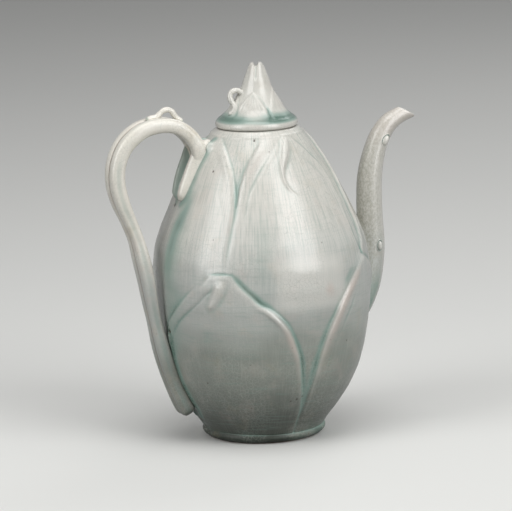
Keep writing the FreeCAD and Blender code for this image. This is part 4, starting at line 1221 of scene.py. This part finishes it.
# %% Glaze in the flare and on the rim. The side and the front are as the photograph shows them
SIDE_TURN = -22.0
FRONT_TURN = SIDE_TURN - 90.0
RIM_HEIGHT, FLARE_HEIGHT, ABOVE_FLARE_HEIGHT = 180.4, 184.3, 187.0
PALE_TIP_STARTS = (205, 213)
UNGLAZED_ENDS = (178.85, 179.15)
flare = 0.84 + 0.16 * np.cos(2 * (lid_round - math.radians(SIDE_TURN)))
flare = flare + 0.25 * bump(from_lid_turn(-80), 24)
flare = (flare - 0.14 * bump(from_lid_turn(-126), 14))[None, :]
above_flare = bump(lid_height - ABOVE_FLARE_HEIGHT, 2.0)
lid_pool += 1.08 * flare * bump(lid_height - FLARE_HEIGHT, 1.9) + 0.25 * above_flare * flare
lid_crest += 0.6 * bump(lid_height - RIM_HEIGHT, 1.1) + 0.3 * eased(lid_height, *PALE_TIP_STARTS)
lid_warm = 0.5 * bump(from_lid_turn(FRONT_TURN)[None, :], 22) * bump(lid_height - 186, 4)
lid_soil = 0.6 * (1 - eased(lid_height, *UNGLAZED_ENDS))
print("deepest pool on the lid", round(float(lid_pool.max()), 2))

# %% The split tip. The relief moves the surface outward by one share and up by another
OUTWARD_SHARE = 0.9
UPWARD_SHARE = 0.4
NOTCH_PLACE = -0.35
NOTCH_DEPTH = 1.9
NOTCH_GROOVE_DEPTH = 0.55
TIP_DROP = 1.0
TIP_TOP = 215.0
TIP_SMOOTH_FROM = 212
NOTCH_START = 205.0
NOTCH_HALF_WIDTHS = (0.35, 1.7)
TIP_HALF_WIDTHS = (2.8, 4.6)
FLARE_ENDS = (181.2, 184)
FRONT_GROOVE_STARTS, FRONT_GROOVE_ENDS = (204.5, 208), (214.3, TIP_TOP)
relief_share = eased(lid_height, *FLARE_ENDS) * (1 - 0.6 * eased(lid_height, TIP_SMOOTH_FROM, TIP_TOP))
lid_out = lid_radius + OUTWARD_SHARE * lid_relief * relief_share
from_notch = lid_round - math.radians(SIDE_TURN)
notch_line = lid_out * np.cos(from_notch)[None, :] - NOTCH_PLACE
front_side = eased(-np.sin(from_notch), 0.2, 0.7)[None, :]
groove_up = eased(lid_height, *FRONT_GROOVE_STARTS) * (1 - eased(lid_height, *FRONT_GROOVE_ENDS)) * front_side
lid_out = lid_out - NOTCH_GROOVE_DEPTH * groove_up * bump(notch_line, 0.6)
lid_pool += 0.34 * groove_up * bump(notch_line, 0.7)
notch = 1 - eased(np.abs(notch_line), *NOTCH_HALF_WIDTHS)
tip_top = TIP_TOP - NOTCH_DEPTH * notch - TIP_DROP * eased(np.abs(notch_line), *TIP_HALF_WIDTHS)
lift = np.clip((lid_height - NOTCH_START) / (TIP_TOP - NOTCH_START), 0, 1)
split_height = NOTCH_START + lift * (tip_top - NOTCH_START)
lid_top = np.where(lid_height > NOTCH_START, split_height, lid_height + UPWARD_SHARE * lid_relief)
lid_x, lid_y = lid_out * np.cos(lid_round)[None, :], lid_out * np.sin(lid_round)[None, :]
lid_outside = np.stack([lid_x, lid_y, lid_top], 2)
print("tip from", round(float(lid_top[-1].min()), 1), "to", round(float(lid_top.max()), 1), "mm up")

# %% Outside, hollow and seat as one skin, leaning a little as the photograph shows
LID_HOLLOW = [(0.25, 198.9), (2.6, 198.8), (3.2, 198.0), (14.3, 179.4), (14.6, 179.0), (18.0, 178.85)]
LID_SAG = np.array([(179, 0.3), (190, 0.1), (215, -0.7)])
lid_inside = np.array([plain_ring(radius, height, lid_round) for radius, height in LID_HOLLOW])
hidden = len(LID_HOLLOW)
lid_piece = ringed_piece(
    "lid_shoot",
    sagged(np.concatenate([lid_outside, lid_inside]), LID_SAG),
    {
        "pool_and_shade": with_hidden(lid_pool, hidden),
        "crest": with_hidden(lid_crest, hidden),
        "warm": with_hidden(lid_warm, hidden),
        "soil": with_hidden(lid_soil, hidden),
        "bare": with_hidden(np.zeros_like(lid_pool), hidden, 1.0),
    },
    join_ends=True,
)
print("lid places", len(lid_piece.data.vertices))

# %% [markdown]
# ## The lid's collar
# Under the lid a short collar drops into the mouth and keeps the lid from sliding. It is bare clay, with
# softly rounded edges.

# %% Collar
COLLAR_LINE = [
    (17.0, 178.9), (17.0, 172.0), (16.6, 171.2), (16.0, 171.0), (15.2, 171.0), (14.6, 171.3),
    (14.4, 172.0), (14.4, 178.9),
]
COLLAR_BORE, COLLAR_RADIUS = 14.4, 17.0
COLLAR_FOOT, COLLAR_TOP = 171.0, 179.0
collar_run = smooth_run(COLLAR_LINE, 4)
collar_run[:, 0] = np.clip(collar_run[:, 0], COLLAR_BORE, COLLAR_RADIUS)
collar_run[:, 1] = np.clip(collar_run[:, 1], COLLAR_FOOT, COLLAR_TOP)
collar_rings = np.array([plain_ring(radius, height, lid_round) for radius, height in collar_run])
collar = ringed_piece("lid_collar", collar_rings, {"bare": np.ones(collar_rings.shape[:2])}, join_ends=True)
print("collar places", len(collar.data.vertices))

# %% [markdown]
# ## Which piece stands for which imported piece
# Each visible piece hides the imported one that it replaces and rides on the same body, so the lid's loop
# and collar lift off with the lid.

# %% Riding and replacing
DRESSED = [
    (ewer_wall, "ewer", "vessel_body", "body_glaze"),
    (foot_piece, "ewer", "foot_ring", "foot_glaze"),
    (spout_piece, "ewer", "spout", "spout_glaze"),
    (bud_high, "ewer", "spout_bud_upper", "spout_glaze"),
    (bud_low, "ewer", "spout_bud_lower", "spout_glaze"),
    (near_roll, "ewer", "handle_roll_near", "handle_glaze"),
    (far_roll, "ewer", "handle_roll_far", "handle_glaze"),
    (root_piece, "ewer", "handle_root", "handle_glaze"),
    (handle_loop, "ewer", "handle_loop", "handle_glaze"),
    (lid_piece, "lid", "lid", "lid_glaze"),
    (collar, "lid", "lid_flange", "lid_glaze"),
    (lid_loop, "lid", "lid_loop", "lid_glaze"),
]
for piece, body, node, slot in DRESSED:
    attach(piece, body)
    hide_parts(node)
print("pieces dressed", len(DRESSED))

# %% [markdown]
# ## Writing a glaze as arithmetic
# A glaze is a recipe of masks: how thick it lies, where it crackles, where iron shows. One small class
# wraps a shader socket so that masks add and multiply as Python numbers do, and one method makes any other
# node.

# %% A socket that does arithmetic
class Wire:
    """A shader socket that takes part in plain arithmetic."""

    def __init__(self, tree, socket=None):
        self.tree = tree
        self.socket = socket

    def node(self, kind, settings=None, sockets=None, out=0):
        """Adds a node: its settings first, then the values or links of its sockets."""
        made = self.tree.nodes.new(kind)
        for name, value in (settings or {}).items():
            setattr(made, name, value)
        for key, value in (sockets or {}).items():
            if isinstance(value, Wire):
                self.tree.links.new(value.socket, made.inputs[key])
            else:
                made.inputs[key].default_value = value
        return Wire(self.tree, made.outputs[out] if made.outputs else None)

    def math(self, operation, first, second):
        return self.node("ShaderNodeMath", {"operation": operation}, {0: first, 1: second})

    def __add__(self, other):
        return self.math("ADD", self, other)

    def __radd__(self, other):
        return self.math("ADD", other, self)

    def __sub__(self, other):
        return self.math("SUBTRACT", self, other)

    def __rsub__(self, other):
        return self.math("SUBTRACT", other, self)

    def __mul__(self, other):
        return self.math("MULTIPLY", self, other)

    def __rmul__(self, other):
        return self.math("MULTIPLY", other, self)


def colour(red, green, blue):
    """A colour as seen on screen, 0 to 255, made linear for the shader."""
    return tuple(((part / 255 + 0.055) / 1.055) ** 2.4 for part in (red, green, blue)) + (1.0,)


def ramped(value, low, high):
    """A mask that rises softly from 0 to 1 between two values."""
    sockets = {"Value": value, "From Min": low, "From Max": high}
    return value.node("ShaderNodeMapRange", {"interpolation_type": "SMOOTHSTEP"}, sockets)


def blended(mask, under, over):
    """One colour over another through a mask."""
    return mask.node("ShaderNodeMix", {"data_type": "RGBA"}, {0: mask, 6: under, 7: over}, out=2)


def blank_nodes(holder):
    """Clears the nodes of a material or a world and gives a loose wire to start from."""
    holder.use_nodes = True
    holder.node_tree.nodes.clear()
    return Wire(holder.node_tree)


# %% [markdown]
# ## Celadon
# Celadon is a clear glaze, grey-green from a little iron, over pale grey clay. It is creamy where it lies
# thin on edges and the shoulder, and deep blue-green where it pools. Under it the combed clay shows as fine
# upright streaks and level wheel lines. It is finely crackled, and has iron specks and ochre stains. All
# the pieces share one recipe with their own tones and amounts.

# %% Tones of the glaze. The darkest, near the foot, are painted shade, and the handle's cream a painted highlight
CREAM = colour(206, 204, 196)
PALE_GREY_GREEN = colour(184, 187, 182)
LOW_GREY_GREEN = colour(142, 147, 138)
PAINTED_SHADE_NEAR_FOOT = colour(77, 83, 74)
FOOT_RING_PAINTED_SHADE = colour(50, 56, 48)
HANDLE_PAINTED_HIGHLIGHT_CREAM = colour(229, 225, 214)
THIN_EDGE_AND_HIGHLIGHT = colour(224, 221, 213)
PINKISH_EDGE = colour(205, 188, 178)
POOL_AND_SHADE_TONE = colour(132, 157, 147)
DEEP_POOL_AND_SHADE_TONE = colour(78, 110, 98)
CRACK = colour(132, 138, 130)
PALE_CRACK = colour(174, 178, 168)
IRON = colour(92, 74, 56)
OCHRE = colour(176, 160, 126)
SOIL = colour(66, 52, 40)
BARE_CLAY = colour(150, 108, 82)
OLIVE_MOTTLE_AND_SHADE = colour(142, 139, 118)


# %% How coarse each pattern is: a higher number gives finer marks
STREAK_GRAIN = 1300.0
LEVEL_GRAIN = 1100.0
CLOUD_GRAIN = 34.0
PATCH_GRAIN = 85.0
STAIN_GRAIN = 60.0
MOTTLE_GRAIN = 900.0
FINE_GRAIN = 1500.0
WIDE_CRACK_GRAIN = 240.0
FINE_CRACK_GRAIN = 520.0
SPECK_GRAIN = 130.0

# %% Where the tones change, in millimetres, and how the glaze shines
STREAK_DRUM_RADIUS = 55
STREAK_RUN_SHARE = 0.05
LOW_PART_FULL, LOW_PART_END = 70, 130
TONE_UNEVENNESS = 30
GLAZE_IOR = 1.5
GLAZE_ROUGHNESS = 0.27
COAT_SHINE = 0.8
COAT_ROUGHNESS = 0.2
RELIEF_STRENGTH = 0.30
RELIEF_DEPTH = 0.6


# %% The recipe
def celadon(name, tones, heights_of_tones, streaks=0.5, specks=0.5, warm=0.3, crackle=0.5, dull=0.0):
    """A glaze material. The tones follow the heights, in millimetres, and an amount of 1 is strong."""
    material = bpy.data.materials.new(name)
    start = blank_nodes(material)
    place = start.node("ShaderNodeTexCoord", out="Object")
    height = start.node("ShaderNodeSeparateXYZ", sockets={0: place}, out=2)

    def stretched(x, y, z):
        return start.node("ShaderNodeVectorMath", {"operation": "MULTIPLY"}, {0: place, 1: (x, y, z)})

    def noise(vector, scale, detail=3.0, rough=0.55):
        sockets = {"Vector": vector, "Scale": scale, "Detail": detail, "Roughness": rough}
        return start.node("ShaderNodeTexNoise", sockets=sockets)

    def cells(vector, scale, feature="F1"):
        return start.node("ShaderNodeTexVoronoi", {"feature": feature}, {"Vector": vector, "Scale": scale})

    def field(attribute):
        return start.node("ShaderNodeAttribute", {"attribute_name": attribute}, out="Fac")

    # The streaks are drawn as on an even drum, so that they run down the slopes of the shoulder too.
    outward = start.node("ShaderNodeVectorMath", {"operation": "NORMALIZE"}, {0: stretched(1, 1, 0)})
    drum = {0: outward, 1: (STREAK_DRUM_RADIUS * MM,) * 3, 2: stretched(0, 0, STREAK_RUN_SHARE)}
    round_wall = start.node("ShaderNodeVectorMath", {"operation": "MULTIPLY_ADD"}, drum)
    upright = noise(round_wall, STREAK_GRAIN, 3.0, 0.6)
    level = noise(stretched(0.06, 0.06, 1), LEVEL_GRAIN, 2.0)
    cloud = noise(place, CLOUD_GRAIN)
    patch = noise(place, PATCH_GRAIN)
    grain = noise(place, FINE_GRAIN, 2.0)
    pool_and_shade, crest, bare, comb = field("pool_and_shade"), field("crest"), field("bare"), field("comb")

    # The glaze is thick in the pools, uneven in clouds, and follows the streaks and the combing. Painted shade
    # in the pool field darkens it the same way.
    low_part = 1 - ramped(height, LOW_PART_FULL * MM, LOW_PART_END * MM)
    streak = (1 - low_part * 0.84) * streaks
    thickness_and_shade = pool_and_shade * (0.62 + cloud * 0.76) + (cloud - 0.5) * (0.2 + low_part * 0.35)
    thickness_and_shade = thickness_and_shade + (upright - 0.5) * 0.14 * streak + comb * (upright - 0.48) * 0.5

    # Tones from the foot up, the lowest of them painted shade, then warm patches, streaks, the olive mottle
    # with painted shade on the spout, pools with painted shade in them, and thin edges with painted
    # highlights.
    tone = tones[0]
    uneven_height = height + (cloud - 0.5) * (TONE_UNEVENNESS * MM)
    for lower, upper, next_tone in zip(heights_of_tones[:-1], heights_of_tones[1:], tones[1:]):
        tone = blended(ramped(uneven_height, lower * MM, upper * MM), tone, next_tone)
    tone = blended(ramped(patch, 0.50, 0.72) * (0.34 * warm), tone, PINKISH_EDGE)
    tone = blended(ramped(noise(place, STAIN_GRAIN), 0.56, 0.76) * (0.40 * warm), tone, OCHRE)
    tone = blended(ramped(upright, 0.42, 0.70) * 0.34 * streak, tone, THIN_EDGE_AND_HIGHLIGHT)
    tone = blended((1 - ramped(upright, 0.34, 0.50)) * (0.22 + comb * 0.3) * streak, tone, POOL_AND_SHADE_TONE)
    tone = blended(ramped(level, 0.50, 0.72) * ((0.10 + low_part * 0.16) * streaks), tone, POOL_AND_SHADE_TONE)
    mottle = ramped(noise(stretched(1, 1, 0.7), MOTTLE_GRAIN, 4.0, 0.7), 0.40, 0.62)
    tone = blended(mottle * field("olive_and_shade") * 0.6, tone, OLIVE_MOTTLE_AND_SHADE)
    tone = blended(ramped(thickness_and_shade, 0.08, 0.60) * 0.9, tone, POOL_AND_SHADE_TONE)
    tone = blended(ramped(thickness_and_shade, 0.52, 1.10) * 0.92, tone, DEEP_POOL_AND_SHADE_TONE)
    tone = blended(ramped(crest, 0.10, 0.9) * 0.55, tone, THIN_EDGE_AND_HIGHLIGHT)
    tone = blended(ramped(field("warm"), 0.1, 1.0) * 0.6, tone, PINKISH_EDGE)

    # Crackle, iron specks, soil and bare clay lie over all the tones.
    wide_cells = cells(stretched(1, 1, 0.8), WIDE_CRACK_GRAIN, "DISTANCE_TO_EDGE")
    fine_cells = cells(stretched(1, 1, 0.9), FINE_CRACK_GRAIN, "DISTANCE_TO_EDGE")
    wide_cracks, fine_cracks = 1 - ramped(wide_cells, 0.0, 0.03), 1 - ramped(fine_cells, 0.0, 0.09)
    cracks = wide_cracks * 0.5 + fine_cracks * (0.3 + low_part * 0.5)
    crack_tone = blended(low_part, CRACK, PALE_CRACK)
    tone = blended(cracks * ramped(cloud, 0.36, 0.6) * crackle, tone, crack_tone)
    speck = 1 - ramped(cells(place, SPECK_GRAIN), 0.035, 0.085)
    tone = blended(speck * ramped(patch, 0.55, 0.66) * specks, tone, IRON)
    tone = blended(ramped(field("soil"), 0.15, 0.9) * 0.9, tone, SOIL)
    tone = blended(bare, tone, BARE_CLAY)

    # The shine and the fine relief.
    rough = GLAZE_ROUGHNESS + dull + grain * 0.10 + bare * 0.35 + crest * 0.05
    shape = upright * 0.30 * streak + comb * upright * 0.6 + level * 0.30 + grain * 0.18 - cracks * 0.2
    relief_sockets = {"Strength": RELIEF_STRENGTH, "Distance": RELIEF_DEPTH * MM, "Height": shape}
    glaze_sockets = {
        "Base Color": tone, "Roughness": rough, "IOR": GLAZE_IOR,
        "Normal": start.node("ShaderNodeBump", sockets=relief_sockets),
        "Coat Weight": COAT_SHINE - 2.5 * dull, "Coat Roughness": COAT_ROUGHNESS,
    }
    glaze = start.node("ShaderNodeBsdfPrincipled", sockets=glaze_sockets)
    start.node("ShaderNodeOutputMaterial", sockets={"Surface": glaze})
    return material


# %% One glaze for each group of pieces, with its tones from the foot up
# Darker toward the foot: partly a greyer glaze, partly painted shade for the light falling from above
WALL_TONES = (PAINTED_SHADE_NEAR_FOOT, LOW_GREY_GREEN, PALE_GREY_GREEN, CREAM)
# The handle's tones darken toward its foot as painted shade, and its top cream is a painted highlight
HANDLE_TONES = (PAINTED_SHADE_NEAR_FOOT, LOW_GREY_GREEN, PALE_GREY_GREEN, HANDLE_PAINTED_HIGHLIGHT_CREAM)
# Painted shade: the foot ring's one dark tone
FOOT_TONES, LID_TONES = (FOOT_RING_PAINTED_SHADE, FOOT_RING_PAINTED_SHADE), (CREAM, CREAM)
GLAZES = {
    "body_glaze": celadon(
        "celadon_body", WALL_TONES, (4, 50, 88, 150), streaks=1.15, specks=0.45, warm=0.5
    ),
    "foot_glaze": celadon(
        "celadon_foot", FOOT_TONES, (0, 10), streaks=0.3, specks=0.7, warm=0.6, dull=0.28
    ),
    "spout_glaze": celadon(
        "celadon_spout", WALL_TONES, (0, 42, 88, 130), streaks=0.3, specks=0.2, warm=0.3
    ),
    "handle_glaze": celadon(
        "celadon_handle", HANDLE_TONES, (0, 34, 76, 135), streaks=0.3, specks=0.35, warm=0.8
    ),
    "lid_glaze": celadon("celadon_lid", LID_TONES, (180, 200), streaks=0.6, specks=0.15, warm=0.4),
}
for piece, _, _, slot in DRESSED:
    piece.data.materials.clear()
    piece.data.materials.append(GLAZES[slot])
print("glazes", len(GLAZES))

# %% [markdown]
# ## The studio
# A pale floor, two tall softboxes either side of the camera with a dark gap between, a softer lamp above
# and a weak one behind. Their level is plain: a colour on the ewer renders about as it is written. The
# camera sees a pale sheet, but the sheet throws little light back up, so the lower belly stays dim.

# %% What a ray sees, and how much of that a reflection shows
FLOOR_GLOSSY_SHARE = 0.5
ROOM_GLOSSY_SHARE = 0.3


def seen_directly(start, glossy_share):
    """1 for rays from the camera and through glass, and a share for reflections."""
    paths = start.node("ShaderNodeLightPath")
    camera_ray, glossy_ray, through_ray = (
        Wire(start.tree, paths.socket.node.outputs[name])
        for name in ("Is Camera Ray", "Is Glossy Ray", "Is Transmission Ray")
    )
    return camera_ray + glossy_ray * glossy_share + through_ray


# %% Floor. The dim tone is what the ewer gets from it, so it throws little light back up
FLOOR_REACH = 9.0
PALE_PAPER = colour(226, 226, 223)
GREY_PAPER = colour(212, 213, 211)
DIM_PAPER = colour(96, 98, 98)
PAPER_GRAIN = 3.0
MATT = 0.9


def pale_floor():
    """A broad pale sheet under the ewer."""
    mesh = bpy.data.meshes.new("studio_floor")
    corners = [(FLOOR_REACH * x, FLOOR_REACH * y, 0) for x, y in ((-1, -1), (1, -1), (1, 1), (-1, 1))]
    mesh.from_pydata(corners, [], [(0, 1, 2, 3)])
    floor = placed("studio_floor", mesh)
    material = bpy.data.materials.new("pale_floor")
    start = blank_nodes(material)
    place = start.node("ShaderNodeTexCoord", out="Object")
    paper = start.node("ShaderNodeTexNoise", sockets={"Vector": place, "Scale": PAPER_GRAIN, "Detail": 2.0})
    pale = blended(paper * 0.15, PALE_PAPER, GREY_PAPER)
    shade = blended(seen_directly(start, FLOOR_GLOSSY_SHARE), DIM_PAPER, pale)
    sheet = start.node("ShaderNodeBsdfPrincipled", sockets={"Base Color": shade, "Roughness": MATT})
    start.node("ShaderNodeOutputMaterial", sockets={"Surface": sheet})
    mesh.materials.append(material)


pale_floor()

# %% Lamps
EWER_MIDDLE = Vector((0, 0, 0.10))
CAMERA_SIDE = -22.0
CAMERA_TURN = CAMERA_SIDE - 90.0


def soft_lamp(name, turn, lift, away, wide, tall, power):
    """A soft lamp round the ewer, turned from the camera in degrees and aimed at the ewer's middle."""
    lamp = bpy.data.lights.new(name, "AREA")
    lamp.shape = "RECTANGLE"
    lamp.size, lamp.size_y = wide, tall
    lamp.energy = power
    holder = placed(name, lamp)
    turn, lift = math.radians(CAMERA_TURN + turn), math.radians(lift)
    holder.location = EWER_MIDDLE + away * Vector(
        (math.cos(turn) * math.cos(lift), math.sin(turn) * math.cos(lift), math.sin(lift))
    )
    holder.rotation_euler = (EWER_MIDDLE - holder.location).to_track_quat("-Z", "Y").to_euler()


soft_lamp("key_softbox", turn=47, lift=22, away=1.9, wide=1.1, tall=2.1, power=28.0)
soft_lamp("left_softbox", turn=-56, lift=22, away=1.9, wide=1.0, tall=1.8, power=18.5)
soft_lamp("top_softbox", turn=10, lift=78, away=1.3, wide=0.9, tall=0.9, power=7.0)
soft_lamp("back_softbox", turn=155, lift=45, away=1.9, wide=0.8, tall=0.8, power=4.0)

# %% World
ROOM_LIGHT, ROOM_LIGHT_STRENGTH = (0.93, 0.94, 0.95, 1), 0.20
BACKDROP = (0.80, 0.80, 0.79, 1)
world = bpy.data.worlds.new("pale_room")
air = blank_nodes(world)
light = air.node("ShaderNodeBackground", sockets={"Color": ROOM_LIGHT, "Strength": ROOM_LIGHT_STRENGTH})
backdrop = air.node("ShaderNodeBackground", sockets={"Color": BACKDROP, "Strength": 1.0})
backdrop_share = seen_directly(air, ROOM_GLOSSY_SHARE)
sky = air.node("ShaderNodeMixShader", sockets={0: backdrop_share, 1: light, 2: backdrop})
air.node("ShaderNodeOutputWorld", sockets={"Surface": sky})
bpy.context.scene.world = world
bpy.context.scene.view_settings.view_transform = "Standard"

# %% [markdown]
# ## The camera
# The photograph was taken with a long lens, from about 11 degrees above level. The camera's place and lens
# were found by fitting the ewer's outline. It stands 22 degrees to the handle's side of the front.

# %% Camera, in millimetres, with its roll in radians
CAMERA_AWAY = 2200.0
CAMERA_HEIGHT = 517.285
CAMERA_AIM = Vector((-3.061, 0.0, 103.331))
CAMERA_ROLL = -0.033
PHOTO_WIDTH = 512
FOCAL_PIXELS = 3904.143
SENSOR = 36.0
NEAR_CLIP, FAR_CLIP = 0.05, 50.0
eye = Vector((0.0, -CAMERA_AWAY, CAMERA_HEIGHT))
forward = (CAMERA_AIM - eye).normalized()
level_right = forward.cross(Vector((0, 0, 1))).normalized()
level_up = level_right.cross(forward)
right = math.cos(CAMERA_ROLL) * level_right + math.sin(CAMERA_ROLL) * level_up
up = -math.sin(CAMERA_ROLL) * level_right + math.cos(CAMERA_ROLL) * level_up
round_axis = Matrix.Rotation(math.radians(CAMERA_SIDE), 3, "Z")
axes = Matrix([round_axis @ right, round_axis @ up, round_axis @ -forward]).transposed()
camera_data = bpy.data.cameras.new("photo_camera")
camera_data.sensor_width = SENSOR
camera_data.lens = FOCAL_PIXELS / PHOTO_WIDTH * SENSOR
camera_data.clip_start, camera_data.clip_end = NEAR_CLIP, FAR_CLIP
camera = placed("photo_camera", camera_data)
camera.matrix_world = Matrix.Translation(round_axis @ eye * MM) @ axes.to_4x4()
bpy.context.scene.camera = camera
print("lens", round(camera_data.lens, 1), "mm, camera at", [round(part, 3) for part in camera.location])
